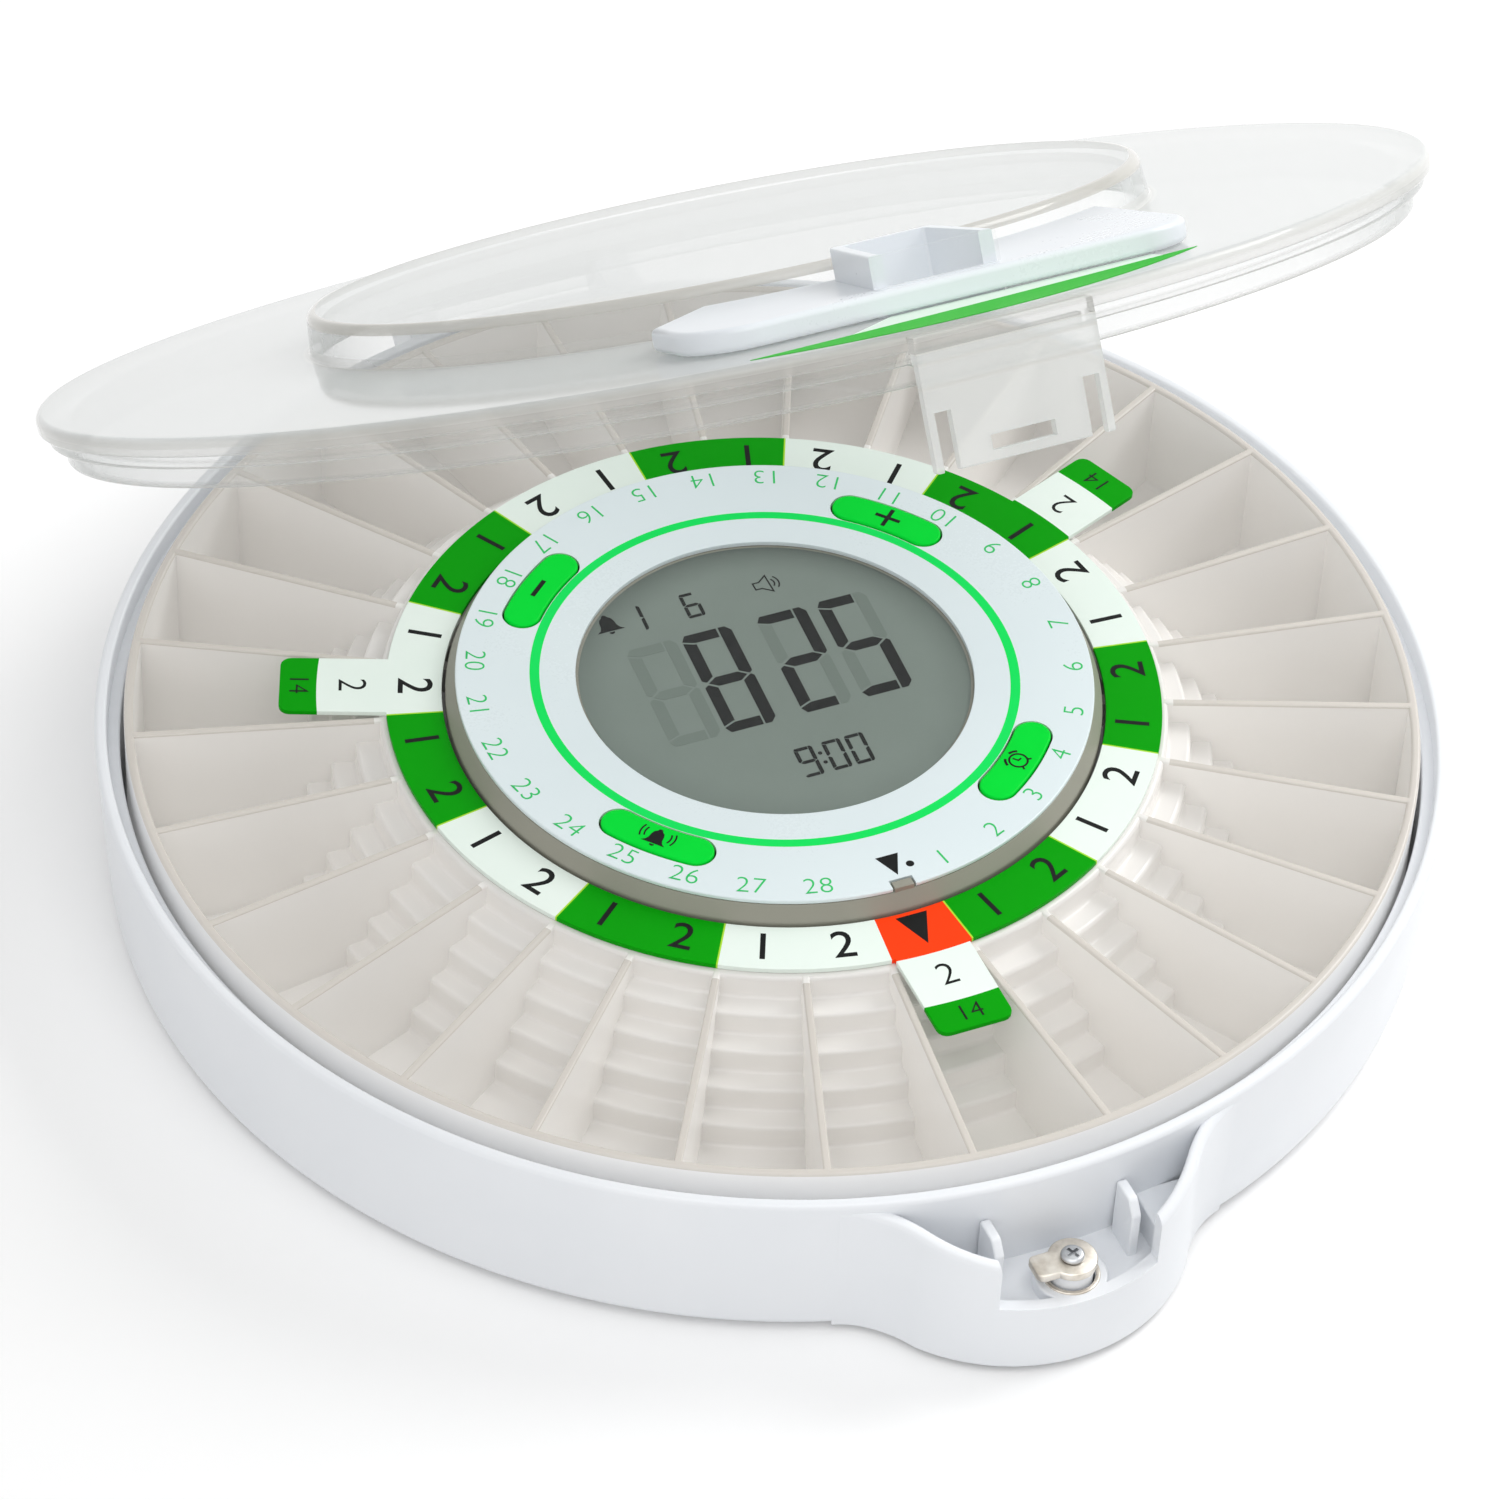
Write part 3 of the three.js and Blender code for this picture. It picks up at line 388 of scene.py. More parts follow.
plastics = {  # light and dark colour, gloss, grain depth, shine (less for print), scales of patch and grain
    'tubWhite': ((238, 240, 243), (231, 234, 238), 0.24, 0.000008),
    # painted shade: the chute's white plastic is a darker, bluer copy of the tub's white
    'chuteWhite': ((228, 232, 236), (221, 226, 231), 0.22, 0.000006),
    'housingGrey': ((156, 154, 142), (144, 143, 131), 0.34, 0.000010, 0.35),
    'dialWhite': ((230, 240, 242), (223, 235, 238), 0.22, 0.000004, 0.3, 30.0, 2600.0),
    'drivePlastic': ((232, 232, 228), (220, 220, 214), 0.38),
    'matBlack': ((40, 40, 43), (30, 30, 33), 0.42, 0.00002, 0.5, 90.0, 2200.0),
    'figureBlack': ((20, 22, 22), (15, 16, 16), 0.4, 0.000003, 0.15),
    'numeralGreen': ((66, 204, 116), (52, 194, 104), 0.4, 0.000003, 0.08),
    'circleGreen': ((28, 236, 102), (18, 228, 94), 0.35, 0.000003, 0.08),
    'keyGreen': ((2, 229, 62), (0, 220, 55), 0.28, 0.000006, 0.06, 120.0, 2400.0),
    'labelMint': ((232, 246, 234), (222, 240, 226), 0.3, 0.000004, 0.2),
    'labelGreen': ((30, 188, 22), (18, 176, 14), 0.34, 0.000004, 0.05),
    'ghostGrey': ((110, 123, 115), (105, 118, 110), 0.3, 0.000002),
}
for name, row in plastics.items():
    moulded(name, *row)


def metalFinish(name, light, dark, gloss, stain):
    board = newFinish(name)
    wear = board.cloud(stain, 5.0)
    lines = board.cloud(900.0, 3.0, (1.0, 14.0, 1.0))
    board.finish(
        Base_Color=board.blend(board.clamped(wear * 2.4 - 0.85), light, dark),
        Metallic=1.0,
        Roughness=gloss + 0.22 * wear + 0.10 * lines,
        Normal=board.bump(lines, 0.000012),
    )


def rubberFinish():
    board = newFinish('footRubber')
    dust = board.cloud(160.0, 4.0)
    board.finish(
        Base_Color=board.blend(dust, (116, 117, 119), (132, 132, 132)),
        Roughness=0.72 + 0.16 * dust,
        Normal=board.bump(board.cloud(1800.0, 3.0), 0.00004),
    )


def boardFinish():
    # green laminate with the weave of its glass cloth and a few copper runs
    board = newFinish('boardGreen')
    x, y = board.parts()[:2]
    weave = board.function('SINE', x * 6000.0) * board.function('SINE', y * 6000.0)
    runs = board.function('SINE', x * 900.0 + board.cloud(60.0) * 9.0) > 0.86
    board.finish(
        Base_Color=board.blend(runs, (30, 96, 52), (58, 132, 74)),
        Roughness=0.42 + 0.05 * weave,
        Normal=board.bump(weave, 0.00001),
    )


def wrapFinish(bandFrom=8.0):
    # printed battery can: dark wrap with a copper-coloured end band
    board = newFinish('batteryWrap')
    band = board.parts()[1] * 1000.0 > bandFrom
    scuff = board.cloud(220.0, 4.0)
    board.finish(
        Base_Color=board.blend(band, board.blend(scuff, (46, 49, 54), (38, 41, 45)), (176, 120, 62)),
        Metallic=0.35,
        Roughness=0.28 + 0.14 * scuff,
    )


def lensFinish():
    # polished clear window: almost nothing face on, a pale sheet at a shallow angle
    board = newFinish('lensClear')
    smear = board.cloud(26.0)
    facing = board.facing(0.5)
    board.finish(
        Base_Color=board.blend(facing, (238, 241, 240), (190, 196, 193)),
        Roughness=0.04 + 0.05 * smear,
        Alpha=0.008 + 0.2 * facing ** 4.0 + 0.01 * smear,
        IOR=1.49,
    )


metalFinish('wornNickel', (232, 226, 216), (176, 166, 152), 0.2, 420.0)
metalFinish('turnedSteel', (204, 206, 208), (160, 162, 165), 0.20, 300.0)
rubberFinish()
boardFinish()
wrapFinish()
lensFinish()
print('finishes made')


# camera, lamps and floor

view = Sizes({
    'azimuth': -25.0, 'elevation': 43.55, 'roll': 3.06, 'distance': 887.3,
    'lens': 145.24, 'across': 3.56, 'up': 8.73, 'aimHeight': 30.0,
})
studio = Sizes({
    'world': 0.52, 'seenWorld': 0.96, 'floorHalf': 6, 'floorGrey': 0.88,
    'floorGlow': 0.12, 'farGlow': 0.5, 'glowStart': 800.0, 'glowRun': 900.0,
    'lamps': [  # place and size in metres, then power in watts
        ((1.05, 0.22, 0.98), 0.8, 12.0),
        ((-0.20, -0.60, 1.40), 1.1, 7.0),
        ((-0.95, -0.70, 0.60), 0.8, 1.3),
        ((-0.60, -1.15, 0.28), 0.7, 0.8),
    ],
})


def makeCamera():
    azimuth, lift, roll = (math.radians(view[key]) for key in ('azimuth', 'elevation', 'roll'))
    turn = spun(azimuth) @ Matrix.Rotation(math.pi / 2 - lift, 4, 'X') @ spun(roll)
    aim = Matrix.Translation((0, 0, view.aimHeight * mm))
    data = bpy.data.cameras.new('photoCamera')
    data.lens = view.lens
    data.sensor_width = 36.0
    data.clip_start = 0.05
    data.clip_end = 20.0
    camera = newObject('photoCamera', data)
    camera.matrix_world = aim @ turn @ Matrix.Translation(Vector((-view.across, -view.up, view.distance)) * mm)
    scene.camera = camera


def makeLamps():
    for number, (place, size, power) in enumerate(studio.lamps, 1):
        data = bpy.data.lights.new(f'softbox{number}', 'AREA')
        data.size = size
        data.energy = power
        lamp = newObject(data.name, data)
        lamp.location = place
        lamp.rotation_euler = (-Vector(place)).to_track_quat('-Z', 'Y').to_euler()


def makeStudio():
    scene.world = bpy.data.worlds.new('paleStudio')
    board = clearBoard(scene.world)
    strength = studio.world + board.seen() * (studio.seenWorld - studio.world)
    sky = board.add('ShaderNodeBackground', {'Color': (1, 1, 1, 1), 'Strength': strength})
    board.add('ShaderNodeOutputWorld', {'Surface': sky})
    board = newFinish('floorPale')
    grey = studio.floorGrey
    paint = board.add('ShaderNodeBsdfDiffuse', {'Color': (grey, grey, grey, 1)})
    x, y = board.parts()[:2]
    away = board.clamped((board.radius(x, y) - studio.glowStart) / studio.glowRun)
    shine = board.seen() * (studio.floorGlow + away * (studio.farGlow - studio.floorGlow))
    glow = board.add('ShaderNodeEmission', {'Color': (1, 1, 1, 1), 'Strength': shine})
    both = board.add('ShaderNodeAddShader', {0: paint, 1: glow})
    board.add('ShaderNodeOutputMaterial', {'Surface': both})
    work = bmesh.new()
    half = studio.floorHalf
    corners = ((-half, -half, 0), (half, -half, 0), (half, half, 0), (-half, half, 0))
    work.faces.new([work.verts.new(corner) for corner in corners])
    floor = closedMesh('studioFloor', work)
    floor.data.materials.append(finishes['floorPale'])


scene.view_settings.view_transform = 'Standard'
makeCamera()
makeLamps()
makeStudio()
print('studio ready')


# tub with its rim, lock lobe, hinge ears and battery well

tub = Sizes({
    'rimRadius': 99.4, 'rimTop': 27.2, 'footRadius': 98.0, 'underside': 1.0, 'floorTop': 3.4, 'wall': 1.8,
    'rimRound': 0.8, 'footRound': 2.2, 'trackInner': 80.0, 'trackOuter': 82.0, 'trackTop': 8.2,
    'ledgeInner': 95.7, 'ledgeOuter': 98.2, 'ledgeLow': 22.0, 'ledgeTop': 24.0,
    'postRadius': 3.4, 'postTop': 20.6, 'insideFoot': 2.2, 'screwBore': 1.7, 'feetRing': 72.0, 'footSink': 7.3,
})
lobe = Sizes({
    'radius': 27.0, 'centre': -84.0, 'fillet': 20.0, 'top': 22.0, 'slope': 0.37, 'wall': 1.8, 'edge': 0.8,
    'taper': 3.8, 'floor': 11.0, 'floorUnder': 9.0, 'notchHalf': 12.0, 'notchFloor': 13.2, 'notchFront': -104.3,
    'ribX': 10.35, 'ribThick': 1.5, 'ribFront': -104.0, 'ribBack': -98.6, 'ribFoot': 10.0, 'ribTop': 21.0,
    'shelfInner': 13.3, 'shelfOuter': 25.6, 'shelfBack': -97.2, 'shelfTop': 16.0,
    'lockY': -105.6, 'bossRadius': 5.2, 'bossTop': 13.2, 'bossFoot': 3.2, 'bore': 3.4, 'headHollow': 4.3,
})
hinge = Sizes({
    'y': 107.6, 'z': 24.5, 'knuckle': 3.4, 'half': 13.5, 'earIn': 13.8, 'earOut': 19.8, 'earRoot': 96.5,
    'earFoot': 13.5, 'pin': 1.3, 'bore': 1.6, 'open': 34.4,
})
well = Sizes({
    'halfX': 30.0, 'halfY': 26.8, 'wall': 1.4, 'roof': 18.9, 'screwY': -32.0, 'earHalf': 6.0, 'earEnd': -36.5,
    'doorLow': 1.2, 'doorTop': 3.0, 'gap': 0.3, 'screwBore': 1.4,
})
posts = [(38.0, 18.0), (-38.0, 18.0), (-38.0, -18.0), (38.0, -18.0)]


def lobePlan(inset=0.0, trim=0, back=90.0):
    # fillet, lobe and fillet arcs, closed inside the tub; inset draws it in from the lobe's outer face
    radius, fillet, reach = lobe.radius, lobe.fillet, -lobe.centre
    toTub = tub.rimRadius + fillet
    y = -(toTub ** 2 - (radius + fillet) ** 2 + reach ** 2) / (2 * reach)
    x = math.sqrt(toTub ** 2 - y ** 2)
    start = math.atan2(y + reach, x)
    right = arc(x, y, fillet + inset, math.atan2(-y, -x), math.atan2(-reach - y, -x), 28)[trim:]
    left = [Vector((-point.x, point.y)) for point in right[::-1]]
    middle = arc(0, -reach, radius - inset, start, -math.pi - start, 96)[1:-1]
    turn = math.atan2(right[0].y, right[0].x)
    return right + middle + left + arc(0, 0, back, -math.pi - turn, turn, 24)


def wallCore():
    # everything inside the middle of the tub's wall
    rim, foot = tub.rimRadius - tub.wall / 2, tub.footRadius - tub.wall / 2
    return turned('wallCore', [(0, -5), (foot, -5), (foot, 1), (rim, tub.rimTop), (rim, 40), (0, 40)])


def hingeBar(name, radius, x0, x1, edge=0.0):
    return sideways(rod(name, radius, x0, x1, edge=edge), hinge.y, hinge.z)


def makeLobe():
    outline = [lobePlan(), lobePlan(lobe.wall, 10, 93.0)]
    wallRing = slab('lobeWall', outline, tub.underside, lobe.top, lobe.edge, 4)
    lean = tub.rimRadius - tub.footRadius
    for corner in wallRing.data.vertices:
        if corner.co.z > lobe.top / 2:
            corner.co.z += lobe.slope * (corner.co.y - lobe.lockY)
        else:
            # the foot follows the tub's taper where the fillet runs into it
            reach = math.hypot(corner.co.x, corner.co.y)
            share = min(1.0, max(0.0, (tub.rimRadius + lobe.taper - reach) / lobe.taper))
            corner.co.xy *= 1 - lean * share / reach
    floor = slab('pocketFloor', [lobePlan(lobe.wall / 2, 6)], lobe.floorUnder, lobe.floor)
    notch = bar('notch', lobe.notchHalf, -125, lobe.notchFront, lobe.notchFloor, 40)
    return carved(fused(wallRing, floor), wallCore(), notch)


def makeRib(side):
    middle, half = side * lobe.ribX, lobe.ribThick / 2
    return sidePlate('pocketRib', [
        (lobe.ribFront, lobe.ribFoot), (lobe.ribBack, lobe.ribFoot), (lobe.ribBack, lobe.ribTop, 0.4),
        (lobe.ribFront + 1.6, lobe.ribTop, 1.2), (lobe.ribFront, lobe.ribTop - 2.2, 1.0),
    ], middle - half, middle + half, 0.3)


def makeEar(side):
    x0, x1 = sorted((side * hinge.earIn, side * hinge.earOut))
    cheek = sidePlate('hingeCheek', [
        (hinge.earRoot, hinge.earFoot), (hinge.earRoot + 4, hinge.earFoot, 1.0),
        (hinge.y + 1.7, hinge.z - 3.4, 2.2), (hinge.y, hinge.z + 1.5, 0.6), (hinge.earRoot, hinge.z + 1.5),
    ], x0, x1, 0.4)
    return carved(fused(cheek, hingeBar('hingeKnuckle', hinge.knuckle, x0, x1, 0.4)), wallCore())


def makeTub():
    shell = turned('tub', [
        (0, tub.underside), (tub.footRadius, tub.underside, tub.footRound),
        (tub.rimRadius, tub.rimTop, tub.rimRound), (tub.rimRadius - tub.wall, tub.rimTop, 0.5),
        (tub.footRadius - tub.wall, tub.floorTop, 1.2), (tub.trackOuter, tub.floorTop, 0.4),
        (tub.trackOuter, tub.trackTop, 0.5), (tub.trackInner, tub.trackTop, 0.5),
        (tub.trackInner, tub.floorTop, 0.4), (0, tub.floorTop),
    ], 288)
    shelf = block('pocketShelf', lobe.shelfInner, lobe.shelfOuter, lobe.ribFront, lobe.shelfBack,
                  lobe.ribFoot, lobe.shelfTop, 0.4)
    shelf = combined('INTERSECT', shelf, [slab('shelfLimit', [lobePlan(lobe.wall - 0.5, 6)], 9.5, 30)])
    ledge = hoop('tubLedge', tub.ledgeInner, tub.ledgeOuter, tub.ledgeLow, tub.ledgeTop, (0.2, 0, 0, 0.4), 288)
    shell = fused(shell, makeLobe(), ledge, makeEar(-1), makeEar(1))
    x, y, ear, wall, foot = well.halfX, well.halfY, well.earHalf, well.wall, tub.insideFoot
    inside = [
        makeRib(-1), makeRib(1), shelf,
        rod('lockBoss', lobe.bossRadius, lobe.bossFoot, lobe.bossTop, y=lobe.lockY, edge=0.4, sides=64),
        bar('well', x + wall, -y - wall, y + wall, foot, well.roof + wall, 0.6),
        bar('doorPad', ear + wall, well.earEnd - wall, -y, foot, 4.8, 0.3),
        rod('doorBoss', tub.postRadius, 3.2, 10.5, y=well.screwY, edge=0.3),
    ]
    inside += [rod('post', tub.postRadius, foot, tub.postTop, *post, 0.3) for post in posts]
    gap = well.gap
    cuts = [
        bar('wellCut', x, -y, y, -5, well.roof),
        bar('earCut', ear + gap, well.earEnd - gap, 0, -5, 3.1),
        rod('doorScrewBore', well.screwBore, 0.5, 17, y=well.screwY),
        rod('plugBore', lobe.bore, -5, 20, y=lobe.lockY),
        rod('headHollow', lobe.headHollow, -5, lobe.bossFoot, y=lobe.lockY),
        hingeBar('pinBore', hinge.bore, -26, 26),
    ]
    for post in posts:
        cuts += [rod('screwBore', tub.screwBore, -5, 27, *post), rod('screwSink', 3.2, -5, 2.7, *post)]
    for i in range(4):
        spot = polar(tub.feetRing, math.pi / 4 + i * math.pi / 2)
        cuts.append(rod('footSink', tub.footSink, -5, 2.1, *spot))
    return carved(fused(shell, *inside), *cuts)


dressed(makeTub(), 'base', 'white_plastic', 'tubWhite', 'base_shell')
print('tub made')


# parts set round a circle by geometry nodes

def setRound(name, part, count, radius, firstAngle, finish):
    # copies of part on a circle, each turned to face outward, as one mesh
    tree = bpy.data.node_groups.new(name + 'Round', 'GeometryNodeTree')
    wanted = [('part', 'Object', part), ('count', 'Int', count), ('radius', 'Float', radius),
              ('firstAngle', 'Float', firstAngle), ('finish', 'Material', finishes[finish])]
    newSocket = tree.interface.new_socket
    sockets = {
        key: newSocket(name=key, in_out='INPUT', socket_type='NodeSocket' + kind) for key, kind, _ in wanted
    }
    newSocket(name='made', in_out='OUTPUT', socket_type='NodeSocketGeometry')
    board = Board(tree)
    entry = tree.nodes.new('NodeGroupInput')
    given = Sizes({key: Wire(board, entry.outputs[key]) for key in sockets})
    points = board.add('GeometryNodePoints', {'Count': given.count})
    angle = board.add('GeometryNodeInputIndex') * (2 * math.pi) / given.count + given.firstAngle
    spot = board.add('ShaderNodeCombineXYZ', {
        'X': board.function('COSINE', angle) * given.radius, 'Y': board.function('SINE', angle) * given.radius,
    })
    placed = board.add('GeometryNodeSetPosition', {'Geometry': points, 'Position': spot})
    shape = board.add('GeometryNodeObjectInfo', {'Object': given.part}, 'Geometry')
    turn = board.add('ShaderNodeCombineXYZ', {'Z': angle})
    copies = board.add('GeometryNodeInstanceOnPoints', {'Points': placed, 'Instance': shape, 'Rotation': turn})
    whole = board.add('GeometryNodeRealizeInstances', {'Geometry': copies})
    coloured = board.add('GeometryNodeSetMaterial', {'Geometry': whole, 'Material': given.finish})
    board.add('NodeGroupOutput', {'made': coloured})
    holder = newObject(name, bpy.data.meshes.new(name))
    spread = holder.modifiers.new('spread', 'NODES')
    spread.node_group = tree
    for key, _, value in wanted:
        spread[sockets[key].identifier] = value
    applied(holder)
    bpy.data.objects.remove(part)
    return holder


# tray: flat deck, stepped slope, outer wall and the partitions between its cells

tray = Sizes({
    'deckInner': 49.6, 'top': 29.0, 'deckUnder': 27.6, 'slopeTop': 58.0, 'slopeFoot': 72.4, 'steps': 5,
    'floorTop': 9.9, 'floorUnder': 8.5, 'radius': 95.0, 'wall': 1.4, 'hubInner': 55.1, 'hubOuter': 56.5,
    'hubFoot': 11.5, 'underHub': 23.9, 'underFoot': 71.0, 'round': 0.7, 'plate': 1.1, 'plateEdge': 0.3,
    'plateInner': 57.3, 'plateBend': 71.7, 'plateOuter': 94.3, 'plateFoot': 9.2,
    'crestHigh': 28.6, 'crestFrom': 58.8, 'outsideFrom': 94.7, 'veil': 0.76, 'glow': 0.05,
})


def cellAngle(cell):
    # cell 0 faces the lobe, and the cells count anticlockwise from above
    return cell / cells * 2 * math.pi - math.pi / 2


def milkyFinish():
    # translucent tray plastic: denser where it is seen edge on, with faint flow marks,
    # and a painted glow in the upright walls that stands in for light scattering through them
    board = newFinish('trayMilk')
    flow = board.cloud(38.0, 3.0)
    x, y, z = board.parts()
    radius = board.radius(x, y)
    crest = (z > tray.crestHigh * mm) * (radius > tray.crestFrom)
    # painted light: the outer wall, which lies in shade in its groove, is painted whiter than the rest of the
    # tray
    paintedLightOutside = (radius > tray.outsideFrom) * (1.0 - crest)
    level = board.parts(board.add('ShaderNodeNewGeometry', output='Normal'))[2]
    upright = 1.0 - board.function('ABSOLUTE', level)
    inner = board.blend(crest, board.blend(flow, (249, 247, 244), (246, 243, 239)), (217, 211, 203))
    board.finish(
        Base_Color=board.blend(paintedLightOutside, inner, (253, 253, 253)),
        Roughness=0.16 + 0.12 * flow,
        Alpha=board.clamped(tray.veil + 0.22 * board.facing(0.4) + 0.05 * flow),
        # painted glow: the upright walls give off light of their own, though they are no lamp
        Emission_Color=board.blend(upright, (40, 39, 39), (255, 254, 252)),
        Emission_Strength=tray.glow,
        Normal=board.bump(board.cloud(1300.0), 0.000008),
        IOR=1.49,
    )


def makeTray():
    run = (tray.slopeFoot - tray.slopeTop) / (tray.steps - 1)
    drop = (tray.top - tray.floorTop) / tray.steps
    slope = []
    for i in range(tray.steps):
        for j in (i, i + 1):
            slope.append((tray.slopeTop + i * run, tray.top - j * drop, tray.round))
    inside = tray.radius - tray.wall
    shell = turned('cellTray', [
        (tray.deckInner, tray.deckUnder, 0.3), (tray.hubInner, tray.deckUnder, 0.4),
        (tray.hubInner, tray.hubFoot, 0.3), (tray.hubOuter, tray.hubFoot, 0.3),
        (tray.hubOuter, tray.underHub), (tray.underFoot, tray.floorUnder),
        (tray.radius, tray.floorUnder, 1.0), (tray.radius, tray.top, 0.5),
        (inside, tray.top, 0.5), (inside, tray.floorTop, 1.2),
    ] + slope[::-1] + [(tray.deckInner, tray.top, 0.4)], cells * 10)
    rise = (tray.underHub - tray.floorUnder) / (tray.underFoot - tray.hubOuter)
    foot = tray.plateFoot + (tray.plateBend - tray.plateInner) * rise
    plate = slab('cellPlate', [[
        (tray.plateInner, foot), (tray.plateBend, tray.plateFoot), (tray.plateOuter, tray.plateFoot),
        (tray.plateOuter, tray.top), (tray.plateInner, tray.top),
    ]], -tray.plate / 2, tray.plate / 2, tray.plateEdge)
    tipped(plate, Matrix.Rotation(math.pi / 2, 4, 'X'))
    return fused(shell, setRound('cellPlates', plate, cells, 0.0, cellAngle(0.5), 'trayMilk'))


milkyFinish()
dressed(makeTray(), 'tray', 'milky_plastic', 'trayMilk', 'tray')
print('tray made')


# dosage ring with three tabs, and what is printed on it

dosage = Sizes({
    'inner': 48.7, 'outer': 57.0, 'low': 29.1, 'high': 29.9, 'edge': 0.12, 'tabs': (0, 9, 20), 'tabHalf': 5.7,
    'tabRoot': 54.0, 'tabReach': 72.4, 'tabRound': 1.6, 'tabStart': 57.4, 'tabGreen': 67.0, 'seam': 0.25,
    'figureRadius': 52.9, 'figureSize': 7.3, 'figureThin': 0.004, 'arrowRadius': 52.4,
    'tabFigures': (('2', 6.0, 62.0), ('14', 4.2, 69.7)), 'tabThin': -0.01,
})


def ringPrint():
    # an orange home block, then pairs of blocks, green and white by turns
    board = newFinish('ringPrint')
    x, y = board.parts()[:2]
    radius = board.radius(x, y)
    turn = (board.function('ARCTAN2', y, x) + math.pi / 2) * (cells / (2 * math.pi))
    cell = board.function('FLOORED_MODULO', turn + 0.5, float(cells))
    pair = board.function('FLOOR', (board.function('FLOOR', cell) - 1.0) * 0.5)
    even = board.function('FLOORED_MODULO', pair, 2.0) < 0.5
    home = cell < 1.0
    onTab = radius > dosage.tabStart
    green = even * (1.0 - home) * (1.0 - onTab)
    # a yellow-green line shows where two colours meet
    along = board.function('FLOORED_MODULO', cell - 1.0, 2.0)
    near = board.function('MINIMUM', along, 2.0 - along) * radius * (2 * math.pi / cells)
    drift = board.cloud(60.0, 3.0)
    mint = board.blend(drift, (241, 250, 243), (233, 246, 237))
    leaf = board.blend(drift, (1, 162, 4), (0, 153, 2))
    colour = board.blend(green, mint, leaf)
    colour = board.blend((near < dosage.seam) * green, colour, (176, 226, 60))
    colour = board.blend(home * (1.0 - onTab), colour, (255, 66, 18))
    colour = board.blend(onTab, colour, mint)
    board.finish(
        Base_Color=board.blend(radius > dosage.tabGreen, colour, leaf),
        Roughness=0.30 + 0.10 * drift,
        Normal=board.bump(board.cloud(2400.0), 0.000004),
        Specular_IOR_Level=0.08,
    )


def flatText(text, size, thin=0.0, spacing=1.0):
    curve = bpy.data.curves.new('figure', 'FONT')
    curve.body = text
    curve.size = size
    curve.offset = thin * size
    curve.extrude = ink
    curve.align_x = 'CENTER'
    curve.align_y = 'CENTER'
    curve.space_character = spacing
    curve.resolution_u = 4
    return newObject('figure', curveMesh(curve))


def flatShape(loops, height=ink):
    return slab('shape', loops, -height, height)


def outward(thing, radius, angle, height):
    # lays a flat figure at a radius, its foot pointing outward
    return tipped(thing, Matrix.Translation((*polar(radius, angle), height)) @ spun(angle + math.pi / 2))


def makeDosageRing():
    ring = hoop('dosageRing', dosage.inner, dosage.outer, dosage.low, dosage.high,
                [dosage.edge] * 4, cells * 10, 2)
    half, root, reach, bend = dosage.tabHalf, dosage.tabRoot, dosage.tabReach, dosage.tabRound
    plan = rounded([(root, -half), (reach, -half, bend), (reach, half, bend), (root, half)])
    tabs = []
    for cell in dosage.tabs:
        tab = slab('doseTab', [plan], dosage.low, dosage.high, dosage.edge)
        tabs.append(tipped(tab, spun(cellAngle(cell))))
    return fused(ring, *tabs)


def makeRingFigures():
    marks = []
    for cell in range(1, cells):
        figure = flatText('1' if cell % 2 else '2', dosage.figureSize, dosage.figureThin)
        marks.append(outward(figure, dosage.figureRadius, cellAngle(cell), dosage.high))
    arrow = flatShape([[(-2.4, 3.0), (0, -3.0), (2.4, 3.0)]])
    marks.append(outward(arrow, dosage.arrowRadius, cellAngle(0), dosage.high))
    for cell in dosage.tabs:
        for text, size, radius in dosage.tabFigures:
            marks.append(outward(flatText(text, size, dosage.tabThin), radius, cellAngle(cell), dosage.high))
    return gathered('ringFigures', marks)


ringPrint()
dressed(makeDosageRing(), 'tray', 'printed_green', 'ringPrint', 'dosage_ring')
dressed(makeRingFigures(), 'tray', 'printed_green', 'figureBlack')
print('dosage ring made')


# control unit: housing, dial and keys

unit = Sizes({
    'radius': 46.8, 'flare': 48.2, 'foot': 20.4, 'flareLow': 27.8, 'flareHigh': 30.1, 'top': 32.4, 'under': 30.8,
    'ledge': 27.5, 'wall': 1.6, 'bossTop': 31.6, 'boreTop': 26.8, 'faceLow': 32.5, 'faceTop': 33.2, 'lens': 28.9,
    'gap': 0.3, 'pointerHalf': 1.5, 'pointerDepth': 1.4, 'keyRadius': 39.0, 'keyHalf': 2.7, 'keyTop': 33.45,
    'keyFoot': 30.9, 'keyAngle': math.radians(8.9),
    'keyTurns': {'clock': -48.8, 'plus': 41.2, 'minus': 131.2, 'alarm': 221.2},
})
dial = Sizes({
    'numeralRadius': 44.1, 'numeralSize': 4.4, 'numeralThin': -0.014, 'numeralSpace': 1.04,
    'numeralTurn': math.radians(-2.7), 'circle': 35.2, 'circleHalf': 0.72, 'arrowRadius': 42.3, 'dotRadius': 43.0,
})


def keyPlan(angle, grow=0.0):
    half, radius = unit.keyHalf + grow, unit.keyRadius
    start, stop = angle - unit.keyAngle, angle + unit.keyAngle
    return (
        arc(0, 0, radius + half, start, stop, 20)
        + arc(*polar(radius, stop), half, stop, stop + math.pi, 16)[1:]
        + arc(0, 0, radius - half, stop, start, 20)[1:]
        + arc(*polar(radius, start), half, start + math.pi, start + 2 * math.pi, 16)[1:-1]
    )


def keyHoles():
    angles = [math.radians(angle) for angle in unit.keyTurns.values()]
    return [slab('keyHole', [keyPlan(angle, unit.gap)], 24, 40) for angle in angles]


